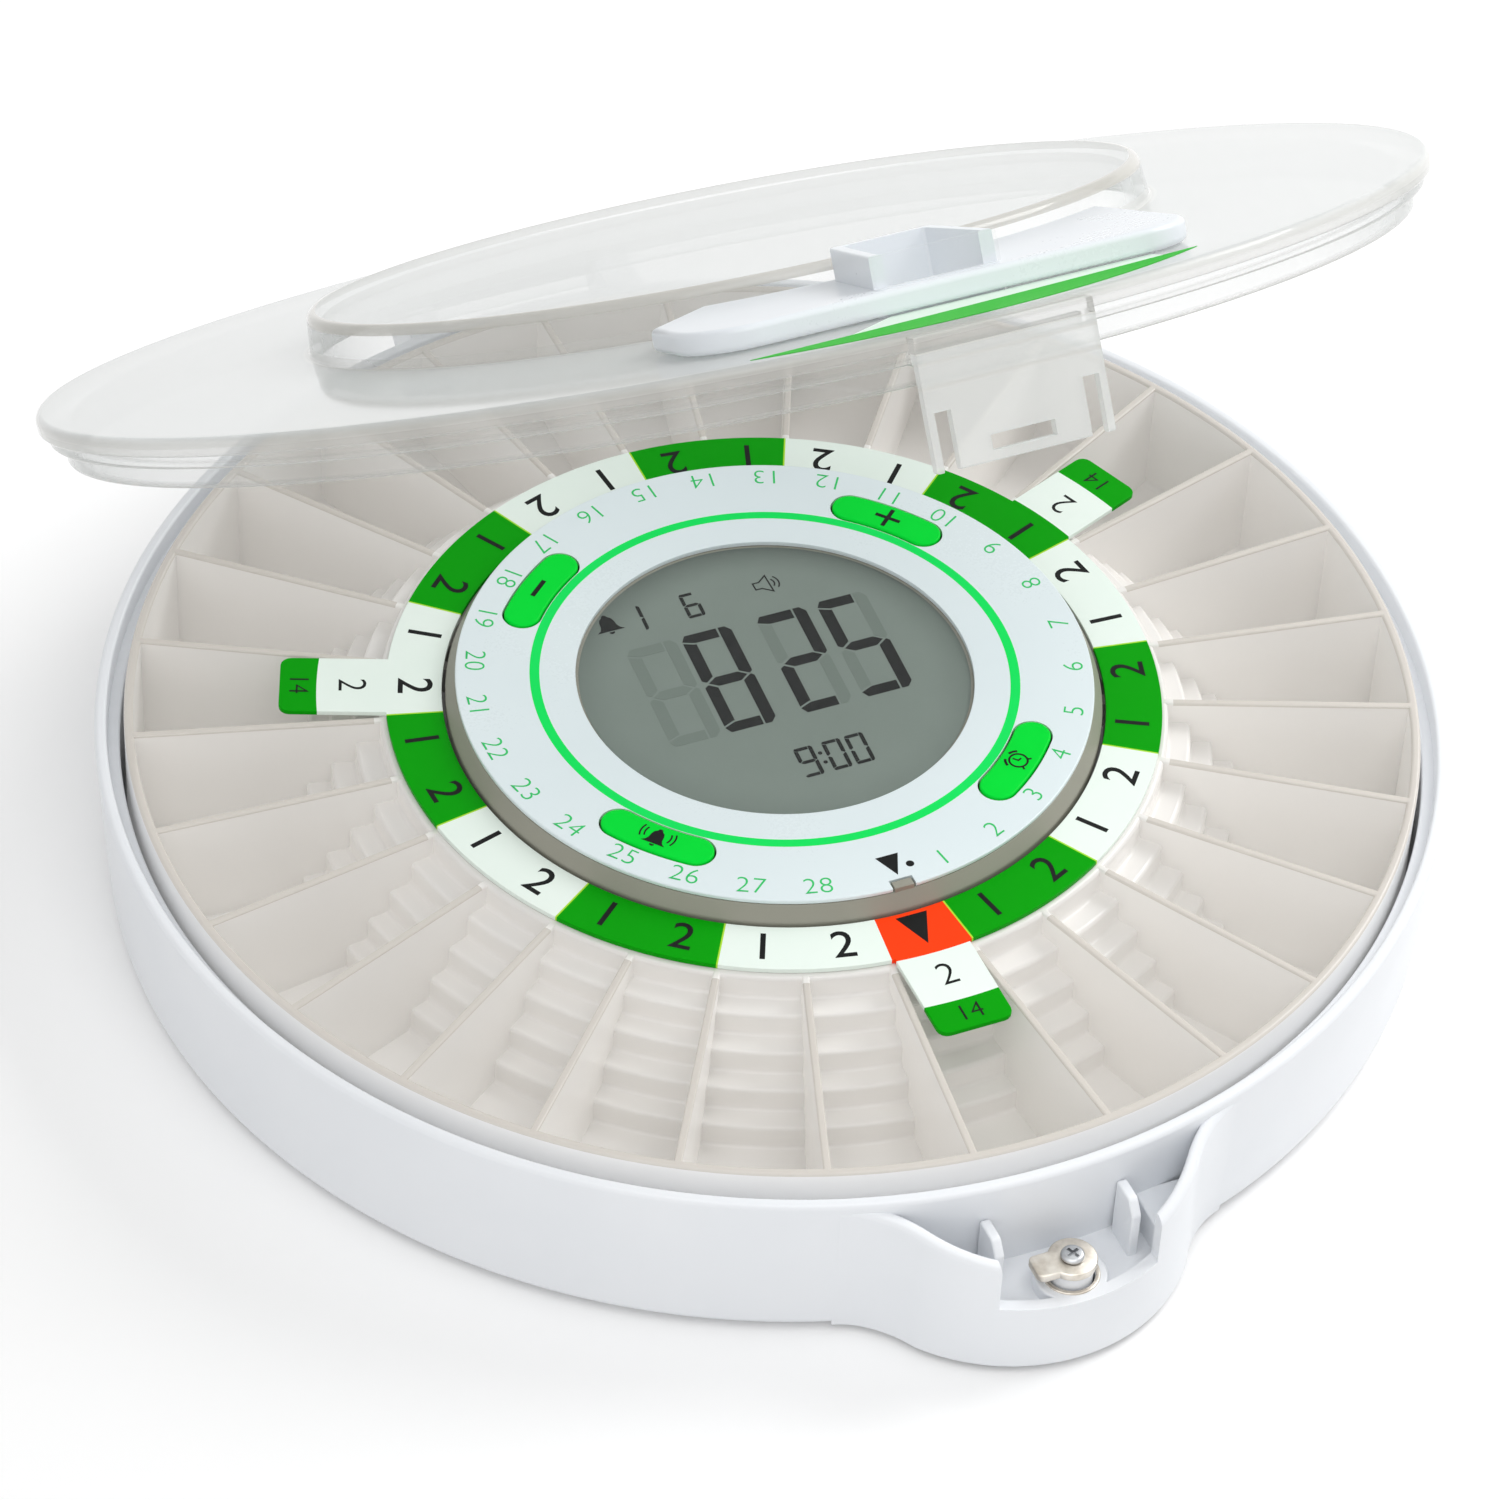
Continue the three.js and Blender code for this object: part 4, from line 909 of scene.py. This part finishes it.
def makeHousing():
    inner = unit.radius - unit.wall
    shell = turned('controlHousing', [
        (unit.ledge, unit.under), (inner, unit.under, 0.4), (inner, unit.foot), (unit.radius, unit.foot, 0.3),
        (unit.flare, unit.flareLow, 1.2), (unit.flare, unit.flareHigh, 0.9),
        (unit.radius, unit.top, 0.3), (unit.ledge, unit.top),
    ])
    bosses = [rod('housingBoss', tub.postRadius, unit.foot, unit.bossTop, *post, 0.2) for post in posts]
    pointer = bar('pointer', unit.pointerHalf, -unit.radius, unit.pointerDepth - unit.radius,
                  unit.under, unit.faceTop, 0.15)
    bores = [rod('housingBore', tub.screwBore, 0, unit.boreTop, *post) for post in posts]
    return carved(fused(shell, *bosses, pointer), *keyHoles(), *bores)


def makeDial():
    face = hoop('dialFace', unit.lens + 0.3, unit.radius, unit.faceLow, unit.faceTop, (0, 0.15, 0.22, 0.12))
    half, depth = unit.pointerHalf + unit.gap, unit.pointerDepth + unit.gap
    return carved(face, *keyHoles(), bar('pointerNotch', half, -52, depth - unit.radius, 32, 40))


def makeNumerals():
    marks = []
    for number in range(1, cells):
        figure = flatText(str(number), dial.numeralSize, dial.numeralThin, dial.numeralSpace)
        marks.append(outward(figure, dial.numeralRadius, cellAngle(number) + dial.numeralTurn, unit.faceTop))
    return gathered('dialNumerals', marks)


def makeStartMark():
    arrow = flatShape([[(-1.75, 2.0), (0, -2.1), (1.75, 2.0)]])
    dot = flatShape([circle(0, 0, 0.6, 20)])
    return gathered('startMark', [
        outward(arrow, dial.arrowRadius, cellAngle(0), unit.faceTop),
        outward(dot, dial.dotRadius, cellAngle(0.27), unit.faceTop),
    ])


def strip(points, width, closed=False, height=ink):
    # a raised line of one width
    left, right = [], []
    count = len(points)
    for i, point in enumerate(points):
        here = Vector(point)
        before, after = Vector(points[i - 1]), Vector(points[(i + 1) % count])
        if not closed and i == 0:
            before = here - (after - here)
        if not closed and i == count - 1:
            after = here + (here - before)
        a, b = (here - before).normalized(), (after - here).normalized()
        across = Vector((-(a + b).y, (a + b).x)).normalized()
        spread = width / 2 / max(0.4, across.dot(Vector((-a.y, a.x))))
        left.append(here + across * spread)
        right.append(here - across * spread)
    return flatShape([left, right] if closed else [left + right[::-1]], height)


def bellSign(size, waves=False):
    half = [(0, 1.0), (0.16, 0.93), (0.2, 0.78), (0.42, 0.6),
            (0.52, 0.28), (0.56, -0.12), (0.7, -0.42), (0.98, -0.62)]
    bell = [Vector((x * size, y * size)) for x, y in half + [(-x, y) for x, y in half[:0:-1]]]
    shapes = [flatShape([bell]), flatShape([arc(0, -0.72 * size, 0.2 * size, math.pi, 2 * math.pi, 8)])]
    for side in (0.0, math.pi) if waves else ():
        for reach in (1.05, 1.4):
            shapes.append(strip(arc(0, 0.35 * size, reach * size, side - 0.45, side + 0.45, 8), 0.13 * size))
    return gathered('bellSign', shapes)


def clockSign(size):
    shapes = [
        flatShape([circle(0, 0, size, 32), circle(0, 0, 0.8 * size, 32)]),
        strip([(0, 0.62 * size), (0, 0), (0.42 * size, -0.1 * size)], 0.17 * size),
    ]
    for side in (math.radians(50), math.radians(130)):
        foot = side + math.pi
        shapes.append(strip(arc(0, 0, 1.28 * size, side - 0.36, side + 0.36, 8), 0.26 * size))
        shapes.append(strip([polar(0.98 * size, foot), polar(1.32 * size, foot)], 0.2 * size))
    return gathered('clockSign', shapes)


def speakerSign():
    cone = [(-2.0, -0.7), (-1.0, -0.7), (0.4, -1.8), (0.4, 1.8), (-1.0, 0.7), (-2.0, 0.7)]
    waves = [strip(arc(0.1, 0, reach, -0.75, 0.75, 10), 0.24, height=0.015) for reach in (1.1, 1.8)]
    return gathered('speakerSign', [strip(cone, 0.24, True, 0.015)] + waves)


def plusSign(arm, half):
    return flatShape([[
        (arm, -half), (arm, half), (half, half), (half, arm), (-half, arm), (-half, half),
        (-arm, half), (-arm, -half), (-half, -half), (-half, -arm), (half, -arm), (half, -half),
    ]])


def makeKey(name, sign):
    angle = math.radians(unit.keyTurns[name])
    cap = slab(name + 'KeyCap', [keyPlan(angle)], unit.keyFoot, unit.keyTop, 0.3, 3)
    outward(sign, unit.keyRadius, angle, unit.keyTop + 0.005).name = name + 'KeySign'
    dressed(cap, name + '_key_cap', 'green_key', 'keyGreen', name + '_key')
    dressed(sign, name + '_key_cap', 'green_key', 'figureBlack')


dressed(makeHousing(), 'base', 'grey_plastic', 'housingGrey', 'control_housing')
dressed(makeDial(), 'base', 'printed_white', 'dialWhite', 'dial_face')
dressed(makeNumerals(), 'base', 'printed_white', 'numeralGreen')
dressed(makeStartMark(), 'base', 'printed_white', 'figureBlack')
dialCircle = hoop('dialCircle', dial.circle - dial.circleHalf, dial.circle + dial.circleHalf,
                  unit.faceTop - 0.05, unit.faceTop + ink)
dressed(dialCircle, 'base', 'printed_white', 'circleGreen')
makeKey('plus', plusSign(2.0, 0.32))
makeKey('minus', flatShape([[(-1.9, -0.36), (1.9, -0.36), (1.9, 0.36), (-1.9, 0.36)]]))
makeKey('clock', clockSign(1.5))
makeKey('alarm', bellSign(1.9, True))
print('control unit made')


# display: panel, lens and its figures, in the display's own plane

display = Sizes({
    'panelRadius': 28.75, 'panelLow': 32.41, 'panelTop': 32.45, 'inkTop': 32.48,
    'slant': 0.06, 'shadeRadius': 28.8,
    # digits with the x of each, the y of their foot, and their width, height and stroke
    'big': ([('8', -10.5), ('2', 1.5), ('5', 11.2)], -8.4, (7.9, 21.4, 1.9)),
    'small': ([('1', -16.8), ('6', -7.8)], 16.3, (2.7, 5.3, 0.55)),
    'alarm': ([('9', -2.7), ('0', 1.7), ('0', 5.3)], -21.0, (2.9, 6.1, 0.6)),
    'ghostX': -19.2, 'dots': ((-0.1, -16.9), (-0.1, -18.9)), 'dotRadius': 0.33,
    'bellSize': 2.2, 'bell': (-18.6, 19.2), 'speaker': (6.9, 19.4),
})
lit = {
    '0': 'abcdef', '1': 'bc', '2': 'abged', '5': 'afgcd', '6': 'afgecd', '8': 'abcdefg', '9': 'abcdfg',
}


def displayPrint():
    # grey liquid crystal, with painted shade from the frame round it, heavier toward the top and right
    board = newFinish('displayPrint')
    x, y = board.parts()[:2]
    shade = board.clamped((board.radius(x, y) / display.shadeRadius - 0.78) / 0.22) ** 1.6
    lean = board.clamped((y * 0.9 + x * 0.35) * 26.0 + 0.3)
    mottle = board.cloud(140.0, 3.0)
    grey = board.blend(mottle, (123, 136, 128), (117, 130, 122))
    board.finish(
        Base_Color=board.blend(shade * (0.25 + 0.75 * lean), grey, (76, 88, 81)),
        Roughness=0.30 + 0.08 * mottle,
    )


def segmentLoops(w, h, t):
    # outlines of the seven strokes of a digit, by width, height and stroke
    g, m = t * 0.16, h / 2
    loops = {
        'a': [(0, h - 0.6 * t), (0.35 * t, h), (w - t - g, h), (w - t - g, h - t), (0.95 * t, h - t)],
        'b': [(w - t, h), (w - 0.45 * t, h), (w, h - 0.55 * t), (w, m + 0.3 * t),
              (w - 0.25 * t, m + 0.3 * g), (w - t, m + 0.5 * t + g * 0.5)],
        'f': [(0, h - 0.6 * t - 1.2 * g), (0.85 * t, h - t - g), (t, h - t - g),
              (t, m + 0.5 * t + g), (0.35 * t, m + g), (0, m + 0.4 * t)],
    }
    for key, below in (('a', 'd'), ('b', 'c'), ('f', 'e')):
        loops[below] = [(x, h - y) for x, y in loops[key]][::-1]
    loops['g'] = [(0.45 * t, m), (t + g, m + t / 2), (w - t - g, m + t / 2),
                  (w - 0.35 * t - g, m), (w - t - g, m - t / 2), (t + g, m - t / 2)]
    return loops


def onDisplay(loop):
    return slab('segment', [loop], display.panelTop - 0.01, display.inkTop)


def digitShapes(wanted, x, y, size):
    shapes = []
    for key, loop in segmentLoops(*size).items():
        if key in wanted:
            shapes.append(onDisplay([(x + px + (y + py) * display.slant, y + py) for px, py in loop]))
    return shapes


def makeDisplayFigures():
    shapes = []
    for digits, foot, size in (display.big, display.small, display.alarm):
        for digit, x in digits:
            shapes += digitShapes(lit[digit], x, foot, size)
    shapes += [onDisplay(circle(x, y, display.dotRadius, 16)) for x, y in display.dots]
    for sign, spot in ((bellSign(display.bellSize), display.bell), (speakerSign(), display.speaker)):
        shapes.append(shifted(sign, (*spot, display.inkTop - ink)))
    return gathered('displayFigures', shapes)


def makeGhostFigures():
    # the strokes that are off show faintly, with one whole digit more
    digits, foot, size = display.big
    shapes = digitShapes(lit['8'], display.ghostX, foot, size)
    for digit, x in digits:
        shapes += digitShapes(set(lit['8']) - set(lit[digit]), x, foot, size)
    return gathered('displayGhost', shapes)


displayPrint()
panel = hoop('displayPanel', 0, display.panelRadius, display.panelLow, display.panelTop)
dressed(panel, 'base', 'display_grey', 'displayPrint')
dressed(makeDisplayFigures(), 'base', 'display_grey', 'figureBlack')
dressed(makeGhostFigures(), 'base', 'display_grey', 'ghostGrey')
lens = hoop('displayLens', 0, unit.lens, unit.faceLow, unit.faceTop, (0, 0.1, 0.25, 0))
dressed(lens, 'base', 'clear_plastic', 'lensClear', 'display_lens')
print('display made')


# lock in the lobe's pocket

lock = Sizes({
    'headRadius': 4.0, 'headLow': 1.4, 'headTop': 3.0, 'shaft': 3.1, 'shaftTop': 15.2, 'slotHalf': 0.6,
    'camLow': 15.3, 'camTop': 16.6, 'camRadius': 3.5, 'toothReach': 5.9, 'toothHalf': 2.1, 'screwBore': 1.3,
    'screwHead': 1.7, 'screwNeck': 16.7, 'screwTop': 17.4, 'screwLow': 10.9,
    'collarInner': 3.45, 'collarOuter': 4.1, 'collarLow': 13.1, 'collarTop': 13.45,
})


def crossRecess(size, x, y, top, depth):
    cuts = []
    for turn in (0.4, 0.4 + math.pi / 2):
        cut = bar('recess', size, -size * 0.24, size * 0.24, -depth, 1.0)
        cuts.append(tipped(cut, Matrix.Translation((x, y, top)) @ spun(turn)))
    return cuts


def makeLock():
    y, half, reach = lobe.lockY, lock.toothHalf, -lock.toothReach
    cam = rod('lockCam', lock.camRadius, lock.camLow, lock.camTop, y=y, edge=0.25, sides=72)
    tooth = slab('camTooth', [rounded([
        (0, y - half), (0, y + half), (reach, y + half, 0.8), (reach, y - half, 1.2),
    ])], lock.camLow, lock.camTop, 0.22)
    cam = carved(fused(cam, tooth), rod('camBore', lock.screwBore, 10, 20, y=y))
    dressed(cam, 'lock', 'nickel_plate', 'wornNickel', 'lock_cam')
    head = shifted(turned('camScrew', [
        (0, lock.screwLow), (1.0, lock.screwLow, 0.3), (1.0, lock.screwNeck),
        (lock.screwHead, lock.screwNeck, 0.15), (lock.screwHead, lock.screwTop, 0.5), (0, lock.screwTop),
    ], 48), (0, y, 0))
    head = carved(head, *crossRecess(1.0, 0, y, lock.screwTop, 0.6))
    dressed(head, 'lock', 'screw_steel', 'turnedSteel', 'lock_cam_screw')
    plug = shifted(turned('lockPlug', [
        (0, lock.headLow), (lock.headRadius, lock.headLow, 0.4), (lock.headRadius, lock.headTop, 0.2),
        (lock.shaft, lock.headTop), (lock.shaft, lock.shaftTop, 0.3), (0, lock.shaftTop),
    ], 64), (0, y, 0))
    slot = bar('keySlot', lock.slotHalf, y - 2.6, y + 2.6, 0, lock.headTop)
    plug = carved(plug, slot, rod('plugBore', lock.screwBore, 10.6, 20, y=y))
    dressed(plug, 'lock', 'white_plastic', 'tubWhite', 'lock_plug')
    collar = hoop('lockCollar', lock.collarInner, lock.collarOuter, lock.collarLow, lock.collarTop,
                  (0, 0, 0.15, 0.1), 64)
    dressed(shifted(collar, (0, y, 0)), 'base', 'nickel_plate', 'wornNickel')


makeLock()
print('lock made')


# lid, drawn closed and then turned up about its hinge

lid = Sizes({
    'radius': 100.3, 'top': 32.0, 'plate': 1.5, 'lipLow': 29.4, 'lipRound': 1.1,
    'upperSkirt': 99.0, 'upperLow': 27.5, 'lowerSkirt': 97.0, 'lowerLow': 24.4, 'skirtInner': 95.5,
    'dome': 60.0, 'domeFoot': 60.6, 'domeTop': 38.0, 'domeWall': 1.5, 'domeRound': 1.3,
    'lugHalf': 12.5, 'lugBack': -100.2, 'lugFront': -101.8, 'lugFoot': 13.6, 'lugTop': 31.3, 'neckBack': -97.5,
    'flange': 1.3, 'slotHalf': 1.15, 'slotTop': 21.4, 'catchHalf': 4.5, 'catchLow': 14.9, 'catchTop': 17.0,
    'arm': [(97.7, 30.5), (100.3, 29.4), (104.2, 24.5, 0.4), (111.0, 24.5, 0.4),
            (107.6, 28.25, 1.2), (102.9, 31.3, 1.0), (97.7, 31.3)],
})
lidLook = Sizes({  # where each part of the closed lid begins or ends, then how much each veils
    'domeRim': 58.7, 'domeEnd': 61.5, 'domeHigh': 36.6, 'domeFoot': 60.8, 'domeLow': 33.4, 'flangeFrom': 30.6,
    'lip': 99.6, 'lipFrom': 29.0, 'skirts': ((24.6, 0.5), (27.7, 0.45)), 'lugFrom': -99.8, 'lugTo': 29.2,
    'least': 0.09, 'flange': 0.2, 'shallow': 0.85, 'edge': 0.6, 'lug': 0.38,
})
chute = Sizes({
    'low': 32.3, 'high': 35.5, 'front': 84.5, 'left': 35.0, 'right': 37.0, 'leftCorner': 9.0, 'rightCorner': 8.0,
    'leftBack': 67.0, 'backLeft': 24.0, 'back': 61.2, 'edge': 0.9, 'portNear': 64.5, 'portFar': 81.0,
    'portAngle': math.radians(5.2), 'collarWall': 1.5, 'collarLow': 30.6, 'collarTop': 39.9,
})
label = Sizes({  # arcs as centre, radius and two angles
    'upper': (-44.4, 444.1, 536.2, -88.6, -81.5), 'lower': (-2.4, -40.1, 59.2, -118.8, -51.3),
    'bandFront': [(29, -83.5), (-8, -83.5)], 'low': 0.01, 'high': 0.07,
})


def lidFinish():
    # clear moulding, worked out in the closed lid's own place: haze at a shallow angle,
    # painted grey shade lines along its edges, and a milkier lug
    board = newFinish('lidClear')
    turn = math.radians(hinge.open)
    pivot = Vector((0, hinge.y, hinge.z)) * mm
    home = pivot - Matrix.Rotation(turn, 3, 'X') @ pivot
    x, y, z = board.parts(board.add('ShaderNodeMapping', {
        'Vector': board.place(), 'Rotation': (turn, 0, 0), 'Location': home,
    }, vector_type='POINT'))
    radius, height = board.radius(x, y), z * 1000.0
    smear = board.cloud(26.0)
    dome = (radius > lidLook.domeRim) * (radius < lidLook.domeEnd) * (height > lidLook.domeHigh)
    foot = board.near(radius, lidLook.domeFoot, 1.0) * (height < lidLook.domeLow)
    lip = board.clamped((radius - lidLook.lip) * 1.6) * (height > lidLook.lipFrom)
    lower, upper = (board.near(height, *skirt) for skirt in lidLook.skirts)
    lug = (y < lidLook.lugFrom * mm) * (height < lidLook.lugTo)
    # painted shade: grey lines along the dome's rim and foot, the lip and the skirts
    edge = board.clamped(0.9 * dome + 0.45 * foot + 0.5 * lip + 0.45 * (lower + upper))
    flange = (radius > lidLook.domeFoot) * (height > lidLook.flangeFrom)
    haze = lidLook.least + lidLook.flange * flange + lidLook.shallow * board.facing(0.5) ** 3.0
    pale = board.blend(lug, (208, 211, 210), (236, 238, 236))
    board.finish(
        Base_Color=board.blend(edge, pale, (184, 181, 172)),
        Roughness=0.04 + 0.05 * smear,
        Alpha=board.clamped(haze + lidLook.edge * edge + lidLook.lug * lug + 0.03 * smear),
        IOR=1.49,
    )


def openedUp(thing):
    pivot = Matrix.Translation((0, hinge.y, hinge.z))
    return tipped(thing, pivot @ Matrix.Rotation(math.radians(-hinge.open), 4, 'X') @ pivot.inverted())


def portPlan(grow=0.0, bend=0.0):
    near = chute.portNear * math.tan(chute.portAngle) + grow
    far = chute.portFar * math.tan(chute.portAngle) + grow
    return rounded([
        (-near, -chute.portNear + grow, bend), (-far, -chute.portFar - grow, bend),
        (far, -chute.portFar - grow, bend), (near, -chute.portNear + grow, bend),
    ])


def makeLug():
    half, front, top = lid.lugHalf, lid.lugFront, lid.lugTop
    tongue = bar('lug', half, front, lid.lugBack, lid.lugFoot, top, 0.3)
    neck = bar('lugNeck', half, front, lid.neckBack, lid.lipLow, top, 0.3)
    flanges = [
        block('lugFlange', x, x + lid.flange, front, lid.neckBack, lid.upperLow, top, 0.2)
        for x in (-half, half - lid.flange)
    ]
    slots = [
        block('lugRibSlot', x - lid.slotHalf, x + lid.slotHalf, -110, -100, 8, lid.slotTop)
        for x in (-lobe.ribX, lobe.ribX)
    ]
    catch = bar('catchSlot', lid.catchHalf, -110, -90, lid.catchLow, lid.catchTop)
    return carved(fused(tongue, neck, *flanges), catch, *slots)


def makeLidShell():
    under, inside = lid.top - lid.plate, lid.domeTop - lid.domeWall
    bell = turned('lidShell', [
        (0, inside), (lid.dome - lid.domeWall, inside, 0.8), (lid.domeFoot - lid.domeWall, under, 1.0),
        (lid.skirtInner, under, 0.8), (lid.skirtInner, lid.lowerLow, 0.5), (lid.lowerSkirt, lid.lowerLow, 0.6),
        (lid.lowerSkirt, lid.upperLow, 0.5), (lid.upperSkirt, lid.upperLow, 0.5),
        (lid.upperSkirt, lid.lipLow, 0.4), (lid.radius, lid.lipLow, 0.5), (lid.radius, lid.top, lid.lipRound),
        (lid.domeFoot, lid.top, 0.5), (lid.dome, lid.domeTop, lid.domeRound), (0, lid.domeTop),
    ], 288)
    arm = sidePlate('hingeArm', lid.arm, -hinge.half, hinge.half, 0.3)
    knuckle = hingeBar('lidKnuckle', hinge.knuckle, -hinge.half, hinge.half, 0.3)
    whole = fused(bell, makeLug(), fused(arm, knuckle))
    port = slab('lidPort', [portPlan(chute.collarWall + 0.3)], 20, 60)
    return openedUp(carved(whole, port, hingeBar('lidBore', hinge.bore, -20, 20)))


def makeChute():
    front, left, right, back = chute.front, chute.left, chute.right, chute.back
    broad, bend = chute.leftCorner, chute.rightCorner
    first = math.atan2(-math.sqrt(back ** 2 - right ** 2), right)
    last = math.atan2(-math.sqrt(back ** 2 - chute.backLeft ** 2), -chute.backLeft)
    plan = (
        [Vector((-left, -chute.leftBack))]
        + arc(-left + broad, -front + broad, broad, math.pi, 1.5 * math.pi, 16)
        + arc(right - bend, -front + bend, bend, -math.pi / 2, 0, 12)
        + arc(0, 0, back, first, last, 60)
    )
    plate = slab('chutePlate', [plan], chute.low, chute.high, chute.edge, 4)
    collar = slab('chuteCollar', [portPlan(chute.collarWall, 0.8)], chute.collarLow, chute.collarTop, 0.3)
    port = slab('chutePort', [portPlan(0, 0.5)], 20, 60)
    gap = bar('frontGap', 12, -90, -chute.portFar, chute.high + 0.1, 60)
    return openedUp(carved(fused(plate, collar), port, gap))


def makePortWindow():
    # the front wall of the port's collar is clear
    far, wall = chute.portFar, chute.collarWall
    half = far * math.tan(chute.portAngle) + wall - 0.1
    return openedUp(bar('portWindow', half, -far - wall, -far - 0.05, chute.high + 0.15, chute.collarTop, 0.3))


def makeLabel(name, loop):
    # printed on the lid's flat plate, in front of the chute
    return openedUp(slab(name, [loop], lid.top + label.low, lid.top + label.high))


lidFinish()
dressed(makeLidShell(), 'lid', 'clear_plastic', 'lidClear', 'lid_shell')
dressed(makeChute(), 'lid', 'white_plastic', 'chuteWhite', 'chute_plate')
dressed(makePortWindow(), 'lid', 'clear_plastic', 'lensClear')
upperEdge, lowerEdge = (
    arc(x, y, radius, math.radians(start), math.radians(stop), 36)
    for x, y, radius, start, stop in (label.upper, label.lower)
)
dressed(makeLabel('lidBand', upperEdge[8:-3] + label.bandFront), 'lid', 'printed_green', 'labelMint')
dressed(makeLabel('lidCrescent', lowerEdge + upperEdge[::-1][1:-1]), 'lid', 'printed_green', 'labelGreen')
print('lid made')


# underside: feet, battery door and screws

under = Sizes({
    'foot': [(0, 0), (3.2, 0, 0.15), (3.6, 0.35, 0.1), (4.2, 0.35, 0.1),
             (4.6, 0, 0.15), (7, 0, 0.6), (7, 2, 0.2), (0, 2)],
    # radius, underside and top of the head, then radius and top of the shaft
    'housingScrew': (2.9, 1.3, 2.6, 1.4, 26.5), 'doorScrew': (2.3, 1.2, 2.0, 1.1, 10.2), 'recessDeep': 0.6,
    'grips': 14, 'gripRing': 8.5, 'gripY': -10.0, 'gripHalf': 2.6, 'gripThin': 0.45, 'screwSink': 2.6,
})


def makeScrew(name, head, low, neck, shaft, top):
    # head down, its cross recess in the under face
    screw = turned(name, [
        (0, low), (head, low, 0.35), (head, neck, 0.15), (shaft, neck), (shaft, top, 0.4), (0, top),
    ], 48)
    over = Matrix.Rotation(math.pi, 4, 'X')
    return carved(screw, *[tipped(cut, over) for cut in crossRecess(head * 0.6, 0, 0, -low, under.recessDeep)])


def makeDoor():
    low, high, gap = well.doorLow, well.doorTop, well.gap
    x, y, ear = well.halfX - gap, well.halfY - gap, well.earHalf
    panel = bar('batteryDoor', x, -y, y, low, high, 0.4)
    tab = bar('doorEar', ear, well.earEnd, 0, low, high, 0.4)
    grip = bar('grip', under.gripHalf, -under.gripThin, under.gripThin, -0.3, 0.8, 0.25)
    ribs = setRound('gripRibs', grip, under.grips, under.gripRing, 0.0, 'tubWhite')
    door = fused(panel, tab, shifted(ribs, (0, under.gripY, low)))
    bores = ((well.screwBore, 5), (under.screwSink, 2.1))
    return carved(door, *[rod('doorBore', radius, 0, top, y=well.screwY) for radius, top in bores])


foot = turned('foot', under.foot, 64)
feet = setRound('rubberFeet', foot, 4, tub.feetRing, math.pi / 4, 'footRubber')
dressed(feet, 'base', 'grey_rubber', 'footRubber', *[f'rubber_foot_{i}' for i in range(1, 5)])
dressed(makeDoor(), 'base', 'white_plastic', 'tubWhite', 'battery_door')
for turn, pair in ((1, (1, 3)), (-1, (2, 4))):
    angle = turn * math.atan2(posts[0][1], posts[0][0])
    screw = makeScrew('screw', *under.housingScrew)
    screws = setRound('housingScrews', screw, 2, math.hypot(*posts[0]), angle, 'turnedSteel')
    dressed(screws, 'base', 'screw_steel', 'turnedSteel', *[f'housing_screw_{i}' for i in pair])
doorScrew = shifted(makeScrew('doorScrew', *under.doorScrew), (0, well.screwY, 0))
dressed(doorScrew, 'base', 'screw_steel', 'turnedSteel', 'battery_door_screw')
hingePin = hingeBar('hingePin', hinge.pin, -hinge.earOut, hinge.earOut, 0.3)
dressed(hingePin, 'base', 'screw_steel', 'turnedSteel', 'hinge_pin')
print('underside made')


# finishes of the CAD nodes that show or lie inside

nodeFinish = {
    'turnedSteel': ['motor_shaft'],
    'wornNickel': ['battery_contact_front', 'battery_contact_rear', 'tilt_sensor'],
    'drivePlastic': ['tray_drive_ring', 'drive_pinion'],
    'matBlack': ['gear_motor', 'alarm_buzzer', 'tray_position_sensor']
                + [f'{key}_switch' for key in unit.keyTurns],
    'boardGreen': ['circuit_board'],
    'batteryWrap': [f'battery_{i}' for i in range(1, 5)],
    'displayPrint': ['display_module'],
}
for finish, names in nodeFinish.items():
    for nodeName in names:
        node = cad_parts[nodeName]
        for index in range(max(1, len(node.material_slots))):
            if index < len(node.material_slots):
                node.material_slots[index].material = finishes[finish]
            else:
                node.data.materials.append(finishes[finish])
print('nodes finished')
